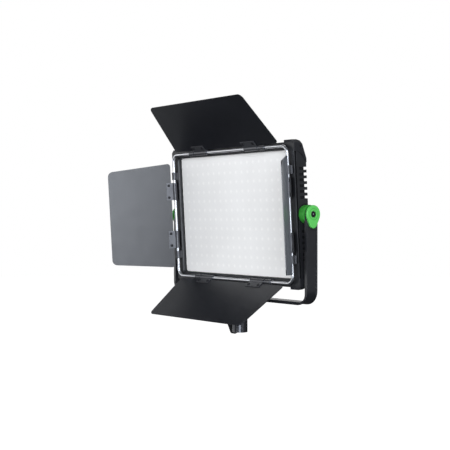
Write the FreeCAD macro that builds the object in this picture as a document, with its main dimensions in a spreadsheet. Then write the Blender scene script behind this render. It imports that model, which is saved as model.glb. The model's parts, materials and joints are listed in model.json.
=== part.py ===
import FreeCAD, Part
import math
import os
import Sketcher
from FreeCAD import Placement, Rotation, Vector

# LED panel light on a yoke, with four barn doors.
#
# The part's frame: origin at the centre of the stand socket's mouth, +Z up, light facing -Y,
# +X to the right of a person who faces the light.
#
# The head's pieces are modelled in the head's own frame: origin on the tilt axis at the
# middle of the head, light facing -Y, rear at +Y. HEAD places that frame in the part.
# A door's pieces are modelled with the hinge axis along X and the flap along +Z.

DIMENSIONS = {
    # head, across
    "housing_half_width": 155.0,
    "housing_half_height": 111.0,
    "housing_corner_cut": 4.0,
    "bezel_front": -18.3,
    "bezel_back": -14.0,
    "optic_centre_height": 0.4,
    "aperture_width": 278.0,
    "aperture_height": 197.0,
    "aperture_corner": 4.0,
    "bezel_lip_back": -10.8,
    "bezel_lip_wall": 3.0,
    "aperture_chamfer": 2.0,
    "seam_width": 2.6,
    "seam_depth": 1.5,
    # rear housing: stations along the depth, where the outline narrows
    "shoulder_start": -9.0,
    "shoulder_mid": -1.3,
    "shoulder_end": 6.5,
    "rear_face": 33.0,
    "shoulder_mid_cut": 6.0,
    "shoulder_end_half_height": 107.0,
    "shoulder_end_cut": 23.0,
    "rear_half_width": 120.0,
    "rear_half_height": 88.0,
    "rear_cut": 26.0,
    "cavity_half_width": 149.0,
    "cavity_half_height": 107.5,
    "cavity_front_cut": 8.0,
    "cavity_knee": -2.0,
    "cavity_mid": 5.0,
    "cavity_mid_half_width": 145.0,
    "cavity_mid_half_height": 103.0,
    "cavity_mid_cut": 23.0,
    "cavity_back": 30.5,
    "cavity_back_half_width": 113.0,
    "cavity_back_half_height": 84.5,
    "cavity_back_cut": 24.0,
    "fin_slot_width": 4.4,
    "fin_pitch": 8.8,
    "fin_count": 6.0,
    "fin_first_height": 26.0,
    "fin_knee_depth": 4.5,
    "fin_inner_x": 126.0,
    "fin_inner_depth": 23.3,
    "fin_reach": 36.0,
    "screw_radius": 1.6,
    "screw_hole_radius": 1.7,
    "screw_head_radius": 3.0,
    "screw_head_height": 1.6,
    "screw_length": 9.0,
    "screw_boss_radius": 4.2,
    "screw_boss_front": 20.0,
    "screw_boss_floor": 1.0,
    "screw_slot_length": 3.9,
    "screw_slot_width": 0.9,
    "screw_side_x": 109.0,
    "screw_side_z": 52.0,
    "screw_end_x": 74.0,
    "screw_end_z": 80.0,
    "fin_slot_depth": 4.1,
    "pivot_boss_radius": 13.8,
    "pivot_boss_inner": 143.0,
    "rear_vent_width": 3.0,
    "rear_vent_height": 13.0,
    "rear_vent_pitch": 7.0,
    "rear_vent_count": 17.0,
    "rear_vent_centre_height": 73.0,
    # corner bumpers
    "bumper_inner_x": 134.0,
    "bumper_lower_z": 97.0,
    "bumper_top": 3.4,
    "bumper_side": 1.4,
    "bumper_cut": 5.0,
    "bumper_mid_x": 129.0,
    "bumper_mid_z": 90.0,
    "bumper_mid_top": 1.5,
    "bumper_mid_cut_skin": 3.6,
    "bumper_end_x": 124.0,
    "bumper_end_z": 79.0,
    "bumper_end_skin": 1.0,
    "bumper_end_cut_skin": 2.2,
    "bumper_screw_depth": -5.0,
    "bumper_screw_z": 103.5,
    "bumper_screw_radius": 2.4,
    # optics and electronics
    "diffuser_width": 284.0,
    "diffuser_height": 203.0,
    "diffuser_thickness": 2.0,
    "reflector_wall": 3.0,
    "reflector_back": -1.2,
    "led_board_width": 252.0,
    "led_board_height": 190.0,
    "board_thickness": 1.6,
    "led_columns": 16.0,
    "led_rows": 12.0,
    "led_pitch_across": 14.56,
    "led_pitch_up": 15.4,
    "led_size": 5.0,
    "led_thickness": 1.6,
    "heat_sink_width": 240.0,
    "heat_sink_height": 180.0,
    "heat_sink_plate": 2.4,
    "heat_sink_fin": 1.5,
    "heat_sink_fin_pitch": 16.0,
    "heat_sink_fin_count": 14.0,
    "heat_sink_back": 11.5,
    "driver_board_width": 110.0,
    "driver_board_height": 84.0,
    "driver_board_front": 14.0,
    "driver_board_centre_z": -26.0,
    "standoff_radius": 2.5,
    "standoff_half_x": 48.0,
    "standoff_half_z": 36.0,
    "inductor_radius": 8.0,
    "inductor_height": 7.0,
    "inductor_first_x": -36.0,
    "inductor_pitch": 22.0,
    "inductor_z": 14.0,
    "capacitor_radius": 5.0,
    "capacitor_height": 9.0,
    "capacitor_first_x": 8.0,
    "capacitor_pitch": 14.0,
    "capacitor_z": 18.0,
    "switch_chip_width": 14.0,
    "switch_chip_depth": 3.0,
    "switch_chip_height": 14.0,
    "switch_chip_x": -30.0,
    "switch_chip_z": -18.0,
    "dimmer_chip_width": 10.0,
    "dimmer_chip_depth": 2.4,
    "dimmer_chip_height": 10.0,
    "dimmer_chip_x": -6.0,
    "dimmer_chip_z": -16.0,
    "terminal_block_width": 26.0,
    "terminal_block_depth": 8.0,
    "terminal_block_height": 10.0,
    "terminal_block_x": 14.0,
    "terminal_block_z": -28.0,
    # wire frame and door hinges
    "wire_radius": 2.4,
    "wire_front": -23.3,
    "wire_half_width": 146.0,
    "wire_half_height": 105.0,
    "wire_corner": 12.0,
    "sleeve_bore_gap": 0.06,
    "sleeve_outer": 4.1,
    "clip_length": 13.0,
    "clip_foot_half": 4.5,
    "clip_foot_neck": 1.5,
    "clip_foot_wall": 0.4,
    "clip_centre_across": 89.5,
    "clip_centre_up": 68.5,
    # doors
    "door_thickness": 1.2,
    "door_start": 6.5,
    "long_door_length": 102.0,
    "long_door_hinge_half": 131.0,
    "long_door_outer_half": 118.3,
    "side_door_length": 115.5,
    "side_door_hinge_half": 91.0,
    "side_door_outer_half": 80.3,
    "door_corner": 9.0,
    "door_inner_corner": 5.0,
    "long_hinge_offset": 64.5,
    "long_hinge_length": 32.0,
    "side_hinge_offset": 42.0,
    "side_hinge_length": 30.0,
    "tongue_start": 3.3,
    "tongue_end": 15.0,
    "tongue_thickness": 1.2,
    "rivet_radius": 1.5,
    "rivet_head_radius": 2.5,
    "rivet_head_height": 0.9,
    "rivet_inset": 4.5,
    "rivet_height": 11.0,
    "top_door_open": 140.7,
    "bottom_door_open": 122.6,
    "left_door_open": 119.3,
    "right_door_open": 132.5,
    # yoke
    "tilt_axis_height": 193.5,
    "rest_tilt": 3.57,
    "yoke_inner_half": 165.0,
    "yoke_outer_half": 170.0,
    "yoke_half_depth": 11.2,
    "arm_end_flat": 0.01,
    "yoke_bar_top": 60.1,
    "yoke_bar_bottom": 55.1,
    "yoke_inner_corner": 12.0,
    "yoke_outer_corner": 22.0,
    "yoke_rim": 2.6,
    "yoke_recess_depth": 1.0,
    "yoke_recess_top": 170.0,
    "yoke_recess_inner_x": 45.0,
    "pivot_hole_radius": 4.1,
    # tilt knobs
    "knob_inner": 170.05,
    "knob_outer": 173.3,
    "knob_radius": 13.8,
    "knob_lobe_radius": 7.6,
    "knob_lobe_drop": 13.8,
    "knob_recess_radius": 5.8,
    "knob_recess_depth": 1.9,
    "knob_edge_round": 0.9,
    "tilt_screw_radius": 4.0,
    "tilt_screw_head_radius": 4.6,
    "tilt_screw_head_height": 1.5,
    "tilt_screw_end": 144.0,
    "tilt_screw_hex": 2.2,
    "tilt_screw_hex_depth": 1.0,
    "disc_radius": 14.3,
    "disc_outer": 164.9,
    "insert_radius": 7.0,
    "insert_bore_gap": 0.06,
    # stand socket and its lock
    "socket_radius": 12.5,
    "socket_bore_radius": 8.15,
    "socket_bore_depth": 40.0,
    "socket_collar_radius": 14.0,
    "socket_collar_height": 6.0,
    "socket_bolt_radius": 4.0,
    "socket_bolt_head_radius": 6.5,
    "socket_bolt_head_height": 5.0,
    "socket_bolt_hex": 3.6,
    "socket_bolt_depth": 9.0,
    "washer_radius": 8.5,
    "washer_thickness": 1.2,
    "lock_axis_height": 21.5,
    "lock_boss_radius": 7.5,
    "lock_boss_end": 16.5,
    "lock_screw_radius": 4.0,
    "lock_screw_tip": 8.6,
    "lock_hub_inner": 17.5,
    "lock_hub_outer": 28.0,
    "lock_hub_radius": 9.2,
    "lock_hub_cap": 3.0,
    "lock_wing_length": 28.0,
    "lock_wing_half_root": 8.0,
    "lock_wing_half_tip": 5.2,
    "lock_wing_thickness": 8.0,
    "lock_wing_flat": 0.4,
    "lock_rest_angle": 18.0,
    "running_gap": 0.06,
    # controls on the back
    "panel_width": 84.0,
    "panel_height": 124.0,
    "panel_thickness": 1.8,
    "panel_corner": 5.0,
    "panel_overlap": 4.0,
    "window_width": 50.0,
    "window_height": 28.0,
    "window_centre_z": 38.0,
    "window_glass": 1.2,
    "display_margin": 1.0,
    "display_depth": 3.0,
    "dial_x": 19.0,
    "dial_z": 2.0,
    "dial_radius": 10.0,
    "dial_height": 7.0,
    "dial_stem_radius": 3.0,
    "dial_stem_tail": 2.0,
    "dial_edge_round": 1.2,
    "dial_flute_radius": 0.8,
    "dial_flute_centre": 10.3,
    "dial_grip_count": 24.0,
    "button_z": -22.0,
    "button_x": 14.0,
    "button_width": 12.0,
    "button_height": 6.0,
    "button_proud": 1.6,
    "button_corner": 1.2,
    "button_edge_round": 0.5,
    "rocker_z": -42.0,
    "rocker_x": -18.0,
    "rocker_half_width": 6.0,
    "rocker_half_length": 8.5,
    "rocker_trunnion_radius": 1.1,
    "rocker_end_gap": 1.7,
    "rocker_end_slope": 1.5,
    "rocker_end_height": 4.6,
    "rocker_mid_height": 3.4,
    "rocker_axis_depth": 1.0,
    "rocker_rest_angle": 9.0,
    "inlet_z": -42.0,
    "inlet_x": 20.0,
    "inlet_radius": 5.5,
    "inlet_bore_radius": 3.2,
    "inlet_pin_radius": 1.0,
    "inlet_body_length": 9.0,
    "inlet_flange_radius": 7.0,
    "inlet_flange_height": 1.2,
    "inlet_bore_depth": 9.5,
    "control_gap": 0.3,
    # battery plates
    "battery_x": 80.0,
    "battery_z": 4.0,
    "battery_plate_width": 44.0,
    "battery_plate_height": 82.0,
    "battery_plate_thickness": 2.6,
    "battery_rail_height": 4.4,
    "battery_rail_width": 2.6,
    "battery_lip": 1.8,
    "battery_lip_thickness": 1.4,
    "battery_lip_length": 49.2,
    "battery_lip_drop": 8.0,
    "contact_width": 2.4,
    "contact_length": 12.0,
    "contact_height": 1.8,
    "contact_slope": 1.2,
    "contact_pitch": 9.0,
    "contact_rise": 24.0,
    "latch_width": 14.0,
    "latch_height": 7.0,
    "latch_drop": 33.0,
    "latch_base": 2.2,
    "latch_depth": 3.4,
    "latch_ramp": 2.0,
    "cut_margin": 1.0,
}

doc = FreeCAD.newDocument("led_panel_light")
sheet = doc.addObject("Spreadsheet::Sheet", "sheet")
for row, (alias, number) in enumerate(DIMENSIONS.items(), start=1):
    sheet.set("A%d" % row, alias)
    sheet.set("B%d" % row, repr(number))
    sheet.setAlias("B%d" % row, alias)
doc.recompute()

PARTS = []
NEAR = 0.01      # how close two lengths are when they count as equal


def value(expression):
    """The number that an expression over the sheet's aliases gives."""
    return float(sheet.evalExpression(expression))


def bound(expression):
    """An expression with each alias written as the sheet's own cell, for setExpression."""
    words = []
    word = ""
    for letter in expression + " ":
        if letter.isalnum() or letter == "_":
            word += letter
            continue
        words.append("sheet." + word if word in DIMENSIONS else word)
        word = ""
        words.append(letter)
    return "".join(words).strip()


def bind(thing, **sizes):
    """Binds each named property of a document object to an expression."""
    for name, expression in sizes.items():
        thing.setExpression(name.replace("__", "."), bound(expression))


# Placement expressions ------------------------------------------------------------------

HEAD = "placement(vector(0; 0; tilt_axis_height); rotation(vector(1; 0; 0); rest_tilt))"
UPRIGHT = "rotation(vector(1; 0; 0); 0)"


def at(x, y, z, turn=UPRIGHT):
    return "placement(vector(%s; %s; %s); %s)" % (x, y, z, turn)


def turned(axis, angle):
    return "rotation(vector(%s); %s)" % (axis, angle)


def hinged(x, z, facing, turn):
    """A door's frame: the wire's axis at (x, z), the flap turned to its rest angle."""
    return " * ".join([HEAD, at(x, "wire_front", z, turn), at("0", "0", "0", facing)])


DOOR_PLACES = {
    "top": hinged("0", "optic_centre_height + wire_half_height",
                  UPRIGHT, turned("1; 0; 0", "180 - top_door_open")),
    "bottom": hinged("0", "optic_centre_height - wire_half_height",
                     UPRIGHT, turned("1; 0; 0", "bottom_door_open")),
    "left": hinged("-wire_half_width", "optic_centre_height",
                   turned("0; 1; 0", "-90"), turned("0; 0; 1", "180 - left_door_open")),
    "right": hinged("wire_half_width", "optic_centre_height",
                    turned("0; 1; 0", "90"), turned("0; 0; 1", "180 + right_door_open")),
}


# Sketch and feature helpers -------------------------------------------------------------

def new_body(name):
    body = doc.addObject("PartDesign::Body", name)
    body.AllowCompound = True
    return body


def new_sketch(body, plane, offset="0", name="outline"):
    """A sketch on one of the body's origin planes, moved along the plane's normal."""
    sketch = body.newObject("Sketcher::SketchObject", body.Name + "_" + name)
    planes = [f for f in body.Origin.OriginFeatures if f.Role == plane + "_Plane"]
    sketch.AttachmentSupport = [(planes[0], "")]
    sketch.MapMode = "FlatFace"
    bind(sketch, AttachmentOffset__Base__z=offset)
    return sketch


def pin_point(sketch, edge, end, across, up):
    """Fixes a sketch point at bound distances from the sketch's origin."""
    for kind, expression, axis in (("DistanceX", across, -2), ("DistanceY", up, -1)):
        distance = value(expression)
        if abs(distance) < 1e-9:
            sketch.addConstraint(Sketcher.Constraint("PointOnObject", edge, end, axis))
            continue
        index = sketch.addConstraint(Sketcher.Constraint(kind, -1, 1, edge, end, distance))
        sketch.setExpression("Constraints[%d]" % index, bound(expression))


def polygon(sketch, corners):
    """A closed outline of straight lines. Each corner is a pair of expressions."""
    points = [Vector(value(x), value(y), 0) for x, y in corners]
    first = sketch.GeometryCount
    count = len(points)
    for i, point in enumerate(points):
        sketch.addGeometry(Part.LineSegment(point, points[(i + 1) % count]), False)
    for i in range(count):
        following = first + (i + 1) % count
        sketch.addConstraint(Sketcher.Constraint("Coincident", first + i, 2, following, 1))
    for i, (x, y) in enumerate(corners):
        pin_point(sketch, first + i, 1, x, y)


def rectangle(sketch, width, height, x="0", y="0"):
    left, right = "%s - (%s) / 2" % (x, width), "%s + (%s) / 2" % (x, width)
    low, high = "%s - (%s) / 2" % (y, height), "%s + (%s) / 2" % (y, height)
    polygon(sketch, [(left, low), (right, low), (right, high), (left, high)])


def octagon(sketch, half_width, half_height, cut):
    """A rectangle with its four corners cut at 45 degrees."""
    w, h, c = "(%s)" % half_width, "(%s)" % half_height, "(%s)" % cut
    polygon(sketch, [
        (w, "-%s + %s" % (h, c)), (w, "%s - %s" % (h, c)),
        ("%s - %s" % (w, c), h), ("-%s + %s" % (w, c), h),
        ("-" + w, "%s - %s" % (h, c)), ("-" + w, "-%s + %s" % (h, c)),
        ("-%s + %s" % (w, c), "-" + h), ("%s - %s" % (w, c), "-" + h)])


def circle(sketch, radius, x="0", y="0"):
    centre = Vector(value(x), value(y), 0)
    edge = sketch.addGeometry(Part.Circle(centre, Vector(0, 0, 1), value(radius)), False)
    pin_point(sketch, edge, 3, x, y)
    index = sketch.addConstraint(Sketcher.Constraint("Radius", edge, value(radius)))
    sketch.setExpression("Constraints[%d]" % index, bound(radius))


def volume_of(body):
    doc.recompute()
    return 0.0 if body.Shape.isNull() else body.Shape.Volume


def pad(body, sketch, length, midplane=False, backwards=False):
    """Adds the sketch's prism to the body, and stops the build if nothing was added."""
    before = volume_of(body)
    feature = body.newObject("PartDesign::Pad", sketch.Name + "_pad")
    feature.Profile = sketch
    feature.SideType = "Symmetric" if midplane else "One side"
    feature.Reversed = backwards
    bind(feature, Length=length)
    sketch.Visibility = False
    if not volume_of(body) > before:
        raise RuntimeError("%s adds nothing" % feature.Name)
    return feature


def pocket(body, sketch, length, midplane=False, backwards=False):
    """Cuts the sketch out of the body, and stops the build if nothing was cut."""
    before = volume_of(body)
    feature = body.newObject("PartDesign::Pocket", sketch.Name + "_pocket")
    feature.Profile = sketch
    feature.SideType = "Symmetric" if midplane else "One side"
    feature.Reversed = backwards
    bind(feature, Length=length)
    sketch.Visibility = False
    if not volume_of(body) < before:
        raise RuntimeError("%s cuts nothing" % feature.Name)
    return feature


def row_of(body, feature, axis, length, count, name):
    """A linear pattern of a feature along one of the body's origin axes."""
    doc.recompute()
    pattern = body.newObject("PartDesign::LinearPattern", name)
    axes = [f for f in body.Origin.OriginFeatures if f.Role == axis + "_Axis"]
    pattern.Originals = [feature]
    pattern.Direction = (axes[0], [""])
    bind(pattern, Length=length, Occurrences=count)
    body.Tip = pattern
    return pattern


def round_edges(body, radius, wanted, kind="Fillet"):
    """Rounds, or chamfers, the edges of the body's tip that wanted(edge) picks."""
    doc.recompute()
    tip = body.Tip
    names = ["Edge%d" % (i + 1) for i, edge in enumerate(tip.Shape.Edges) if wanted(edge)]
    if not names:
        raise RuntimeError("%s has no edge to round" % body.Name)
    feature = body.newObject("PartDesign::" + kind, body.Name + "_" + kind.lower())
    feature.Base = (tip, names)
    bind(feature, **{"Radius" if kind == "Fillet" else "Size": radius})
    body.Tip = feature
    return feature


def along(edge, axis):
    """True for a straight edge that runs along one of the axes, 0, 1 or 2."""
    if edge.Curve.TypeId != "Part::GeomLine":
        return False
    run = edge.Vertexes[-1].Point - edge.Vertexes[0].Point
    return abs(run[axis]) > 0.999 * run.Length


def finish_part(thing, label, place=None):
    """Names a sub-part, puts it in its place and lists it for writing."""
    thing.Label = label
    if place:
        thing.setExpression("Placement", bound(place))
    PARTS.append(thing)
    return thing


def cylinder(name, radius, length, base="0; 0; 0", axis_turn=UPRIGHT):
    """A Part cylinder whose axis is Z, turned and moved by expressions."""
    solid = doc.addObject("Part::Cylinder", name)
    bind(solid, Radius=radius, Height=length)
    solid.setExpression("Placement", bound(
        "placement(vector(%s); %s)" % (base, axis_turn)))
    return solid


def box(name, size, corner):
    """A Part box from its three sizes and the place of its lowest corner."""
    solid = doc.addObject("Part::Box", name)
    bind(solid, Length=size[0], Width=size[1], Height=size[2])
    solid.setExpression("Placement", bound("placement(vector(%s); %s)" % (corner, UPRIGHT)))
    return solid


def fuse(name, pieces):
    result = doc.addObject("Part::MultiFuse", name)
    result.Shapes = pieces
    return result


def cut(name, base, tool):
    result = doc.addObject("Part::Cut", name)
    result.Base = base
    result.Tool = tool
    return result


def code_part(label, shape, place):
    """A sub-part whose shape is made in code from the sheet's values."""
    feature = doc.addObject("Part::Feature", label)
    feature.Shape = shape
    return finish_part(feature, label, place)


TO_X = turned("0; 1; 0", "90")      # turns +Z to +X
TO_MINUS_X = turned("0; 1; 0", "-90")
TO_Y = turned("1; 0; 0", "-90")     # turns +Z to +Y


# Head: shell --------------------------------------------------------------------------------

def loft(body, stations, kind="AdditiveLoft", name="shell"):
    """A ruled loft along Y through octagons. A station is (y, half width, half height, cut)."""
    sketches = []
    for i, (depth, half_width, half_height, corner) in enumerate(stations):
        sketch = new_sketch(body, "XZ", "-(%s)" % depth, "%s%d" % (name, i))
        octagon(sketch, half_width, half_height, corner)
        sketch.Visibility = False
        sketches.append(sketch)
    doc.recompute()
    feature = body.newObject("PartDesign::" + kind, body.Name + "_" + name)
    feature.Profile = sketches[0]
    feature.Sections = sketches[1:]
    feature.Ruled = True
    doc.recompute()
    return feature


def on_aperture_front(edge):
    front = value("bezel_front")
    middle = value("optic_centre_height")
    half_width = value("aperture_width / 2") + NEAR
    half_height = value("aperture_height / 2") + NEAR
    return all(abs(v.Y - front) < NEAR and abs(v.X) < half_width
               and abs(v.Z - middle) < half_height for v in edge.Vertexes)


def front_bezel():
    body = new_body("front_bezel")
    face = new_sketch(body, "XZ", "-(bezel_front)", "face")
    octagon(face, "housing_half_width", "housing_half_height", "housing_corner_cut")
    rectangle(face, "aperture_width", "aperture_height", "0", "optic_centre_height")
    pad(body, face, "bezel_back - bezel_front", backwards=True)
    lip = new_sketch(body, "XZ", "-(bezel_back)", "lip")
    rectangle(lip, "aperture_width + 2 * bezel_lip_wall", "aperture_height + 2 * bezel_lip_wall",
              "0", "optic_centre_height")
    rectangle(lip, "aperture_width", "aperture_height", "0", "optic_centre_height")
    pad(body, lip, "bezel_lip_back - bezel_back", backwards=True)
    inside = value("aperture_width / 2")
    round_edges(body, "aperture_corner", lambda e: along(e, 1)
                and abs(abs(e.Vertexes[0].X) - inside) < NEAR)
    round_edges(body, "aperture_chamfer", on_aperture_front, "Chamfer")
    seam = new_sketch(body, "XZ", "-(bezel_back)", "seam")
    octagon(seam, "housing_half_width + cut_margin", "housing_half_height + cut_margin",
            "housing_corner_cut")
    octagon(seam, "housing_half_width - seam_depth", "housing_half_height - seam_depth",
            "housing_corner_cut")
    pocket(body, seam, "seam_width", backwards=True)
    finish_part(body, "front_bezel", HEAD)


SCREW_PLACES = [(sx + x, sz + z)
                for x, z in (("screw_side_x", "screw_side_z"), ("screw_end_x", "screw_end_z"))
                for sx in ("", "-") for sz in ("", "-")]


def fin_slots(body):
    """Horizontal slots across the sides and the slanted flanks, four mirrored groups."""
    profile = new_sketch(body, "XY", "fin_first_height", "fin_slot")
    root = "housing_half_width - fin_slot_depth"
    far = "housing_half_width + fin_slot_depth"
    polygon(profile, [(root, "shoulder_start"), (root, "fin_knee_depth"),
                      ("fin_inner_x", "fin_inner_depth"), ("fin_inner_x", "fin_reach"),
                      (far, "fin_reach"), (far, "shoulder_start")])
    slot = pocket(body, profile, "fin_slot_width", midplane=True)
    group = body.newObject("PartDesign::MultiTransform", "fin_slots")
    rows = body.newObject("PartDesign::LinearPattern", "fin_rows")
    axes = [f for f in body.Origin.OriginFeatures if f.Role == "Z_Axis"]
    rows.Direction = (axes[0], [""])
    bind(rows, Length="fin_pitch * (fin_count - 1)", Occurrences="fin_count")
    steps = [rows]
    for plane in ("XY", "YZ"):
        step = body.newObject("PartDesign::Mirrored", "fin_mirror_" + plane)
        planes = [f for f in body.Origin.OriginFeatures if f.Role == plane + "_Plane"]
        step.MirrorPlane = (planes[0], [""])
        steps.append(step)
    group.Originals = [slot]
    group.Transformations = steps
    body.Tip = group


def rear_vents(body):
    """Two rows of upright slots through the back wall."""
    profile = new_sketch(body, "XZ", "-(rear_face)", "vent")
    for side in ("", "-"):
        rectangle(profile, "rear_vent_width", "rear_vent_height",
                  "-rear_vent_pitch * (rear_vent_count - 1) / 2",
                  side + "rear_vent_centre_height")
    slot = pocket(body, profile, "rear_face - cavity_back + cut_margin", backwards=True)
    row_of(body, slot, "X", "rear_vent_pitch * (rear_vent_count - 1)", "rear_vent_count",
           "vent_row")


def rear_housing():
    body = new_body("rear_housing")
    width, height = "housing_half_width", "housing_half_height"
    loft(body, [
        ("bezel_back", width, height, "housing_corner_cut"),
        ("shoulder_start", width, height, "housing_corner_cut"),
        ("shoulder_mid", width, height, "shoulder_mid_cut"),
        ("shoulder_end", width, "shoulder_end_half_height", "shoulder_end_cut"),
        ("rear_face", "rear_half_width", "rear_half_height", "rear_cut")])
    loft(body, [
        ("bezel_back", "cavity_half_width", "cavity_half_height", "cavity_front_cut"),
        ("cavity_knee", "cavity_half_width", "cavity_half_height", "cavity_front_cut"),
        ("cavity_mid", "cavity_mid_half_width", "cavity_mid_half_height", "cavity_mid_cut"),
        ("cavity_back", "cavity_back_half_width", "cavity_back_half_height",
         "cavity_back_cut")], "SubtractiveLoft", "cavity")
    for side in ("", "-"):
        boss = new_sketch(body, "YZ", side + "pivot_boss_inner", "boss" + ("b" if side else "a"))
        circle(boss, "pivot_boss_radius")
        pad(body, boss, "housing_half_width - pivot_boss_inner", backwards=bool(side))
    bores = new_sketch(body, "YZ", "0", "insert_bores")
    circle(bores, "insert_radius")
    pocket(body, bores, "4 * housing_half_width", midplane=True)
    bosses = new_sketch(body, "XZ", "-(cavity_back + cut_margin)", "screw_bosses")
    for x, z in SCREW_PLACES:
        circle(bosses, "screw_boss_radius", x, z)
    pad(body, bosses, "cavity_back + cut_margin - screw_boss_front")
    holes = new_sketch(body, "XZ", "-(rear_face)", "screw_holes")
    for x, z in SCREW_PLACES:
        circle(holes, "screw_hole_radius", x, z)
    pocket(body, holes, "rear_face - screw_boss_front - screw_boss_floor", backwards=True)
    opening = new_sketch(body, "XZ", "-(rear_face)", "panel_opening")
    rectangle(opening, "panel_width - 2 * panel_overlap",
              "panel_height - 2 * panel_overlap")
    pocket(body, opening, "rear_face - cavity_back + cut_margin", backwards=True)
    rear_vents(body)
    fin_slots(body)
    finish_part(body, "rear_housing", HEAD)


def bumper_outlines():
    """Four L-shaped outlines, front to back: (y, corners) with corners as (x, z)."""
    width, height = "housing_half_width", "housing_half_height"
    full = [
        ("bumper_inner_x", height), ("%s - housing_corner_cut" % width, height),
        (width, "%s - housing_corner_cut" % height), (width, "bumper_lower_z"),
        ("%s + bumper_side" % width, "bumper_lower_z"),
        ("%s + bumper_side" % width, "%s + bumper_top - bumper_cut" % height),
        ("%s + bumper_side - bumper_cut" % width, "%s + bumper_top" % height),
        ("bumper_inner_x", "%s + bumper_top" % height)]
    sum_mid = "%s + %s - shoulder_mid_cut + bumper_mid_cut_skin" % (width, height)
    middle = [
        ("bumper_mid_x", height), ("%s - shoulder_mid_cut" % width, height),
        (width, "%s - shoulder_mid_cut" % height), (width, "bumper_mid_z"),
        ("%s + bumper_side" % width, "bumper_mid_z"),
        ("%s + bumper_side" % width, "%s - (%s + bumper_side)" % (sum_mid, width)),
        ("%s - (%s + bumper_mid_top)" % (sum_mid, height), "%s + bumper_mid_top" % height),
        ("bumper_mid_x", "%s + bumper_mid_top" % height)]
    low = "shoulder_end_half_height"
    sum_end = "%s + %s - shoulder_end_cut + bumper_end_cut_skin" % (width, low)
    last = [
        ("bumper_end_x", low), ("%s - shoulder_end_cut" % width, low),
        (width, "%s - shoulder_end_cut" % low), (width, "bumper_end_z"),
        ("%s + bumper_end_skin" % width, "bumper_end_z"),
        ("%s + bumper_end_skin" % width, "%s - (%s + bumper_end_skin)" % (sum_end, width)),
        ("%s - (%s + bumper_end_skin)" % (sum_end, low), "%s + bumper_end_skin" % low),
        ("bumper_end_x", "%s + bumper_end_skin" % low)]
    return [("bezel_front", full), ("shoulder_start", full),
            ("shoulder_mid", middle), ("shoulder_end", last)]


def corner_bumper(label, side, end):
    """side and end are the signs of the corner's X and Z."""
    body = new_body(label)
    sketches = []
    for i, (depth, corners) in enumerate(bumper_outlines()):
        sketch = new_sketch(body, "XZ", "-(%s)" % depth, "section%d" % i)
        polygon(sketch, [("%s(%s)" % (side, x), "%s(%s)" % (end, z)) for x, z in corners])
        sketch.Visibility = False
        sketches.append(sketch)
    doc.recompute()
    shell = body.newObject("PartDesign::AdditiveLoft", label + "_shell")
    shell.Profile = sketches[0]
    shell.Sections = sketches[1:]
    shell.Ruled = True
    doc.recompute()
    outside = "%s(housing_half_width + bumper_side + cut_margin)" % side
    hole = new_sketch(body, "YZ", outside, "screw_recess")
    circle(hole, "bumper_screw_radius", "bumper_screw_depth", "%s(bumper_screw_z)" % end)
    pocket(body, hole, "bumper_side + cut_margin", backwards=(side == "-"))
    finish_part(body, label, HEAD)


def housing_screws():
    """Eight pan-head screws in the back wall, one sub-part of separate solids."""
    body = new_body("housing_screws")
    heads = new_sketch(body, "XZ", "-(rear_face)", "heads")
    shanks = new_sketch(body, "XZ", "-(rear_face)", "shanks")
    drives = new_sketch(body, "XZ", "-(rear_face + screw_head_height)", "drives")
    for x, z in SCREW_PLACES:
        circle(heads, "screw_head_radius", x, z)
        circle(shanks, "screw_radius", x, z)
        rectangle(drives, "screw_slot_length", "screw_slot_width", x, z)
    pad(body, heads, "screw_head_height", backwards=True)
    pad(body, shanks, "screw_length")
    pocket(body, drives, "screw_head_height / 2", backwards=True)
    finish_part(body, "housing_screws", HEAD)


# Head: optics and electronics -----------------------------------------------------------

def plate(label, width, height, front, thickness, centre_z="optic_centre_height"):
    """A plain rectangular sheet or board across the head."""
    body = new_body(label)
    outline = new_sketch(body, "XZ", "-(%s)" % front)
    rectangle(outline, width, height, "0", centre_z)
    pad(body, outline, thickness, backwards=True)
    return body


def diffuser_sheet():
    body = plate("diffuser_sheet", "diffuser_width", "diffuser_height", "bezel_lip_back",
                 "diffuser_thickness")
    finish_part(body, "diffuser_sheet", HEAD)


def reflector_frame():
    """A white tray wall between the diffuser and the LED board."""
    front = "bezel_lip_back + diffuser_thickness"
    body = new_body("reflector_frame")
    outline = new_sketch(body, "XZ", "-(%s)" % front)
    rectangle(outline, "diffuser_width", "diffuser_height", "0", "optic_centre_height")
    rectangle(outline, "diffuser_width - 2 * reflector_wall",
              "diffuser_height - 2 * reflector_wall", "0", "optic_centre_height")
    pad(body, outline, "reflector_back - (%s)" % front, backwards=True)
    finish_part(body, "reflector_frame", HEAD)


def led_board():
    body = plate("led_board", "led_board_width", "led_board_height", "reflector_back",
                 "board_thickness")
    finish_part(body, "led_board", HEAD)


def led_chips():
    """The grid of LED packages on the board's front, one sub-part of separate solids."""
    size = value("led_size")
    thickness = value("led_thickness")
    columns = int(value("led_columns"))
    rows = int(value("led_rows"))
    front = value("reflector_back") - thickness
    chips = []
    for column in range(columns):
        x = (column - (columns - 1) / 2) * value("led_pitch_across")
        for line in range(rows):
            z = (line - (rows - 1) / 2) * value("led_pitch_up") + value("optic_centre_height")
            corner = Vector(x - size / 2, front, z - size / 2)
            chips.append(Part.makeBox(size, thickness, size, corner))
    code_part("led_chips", Part.makeCompound(chips), HEAD)


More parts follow.
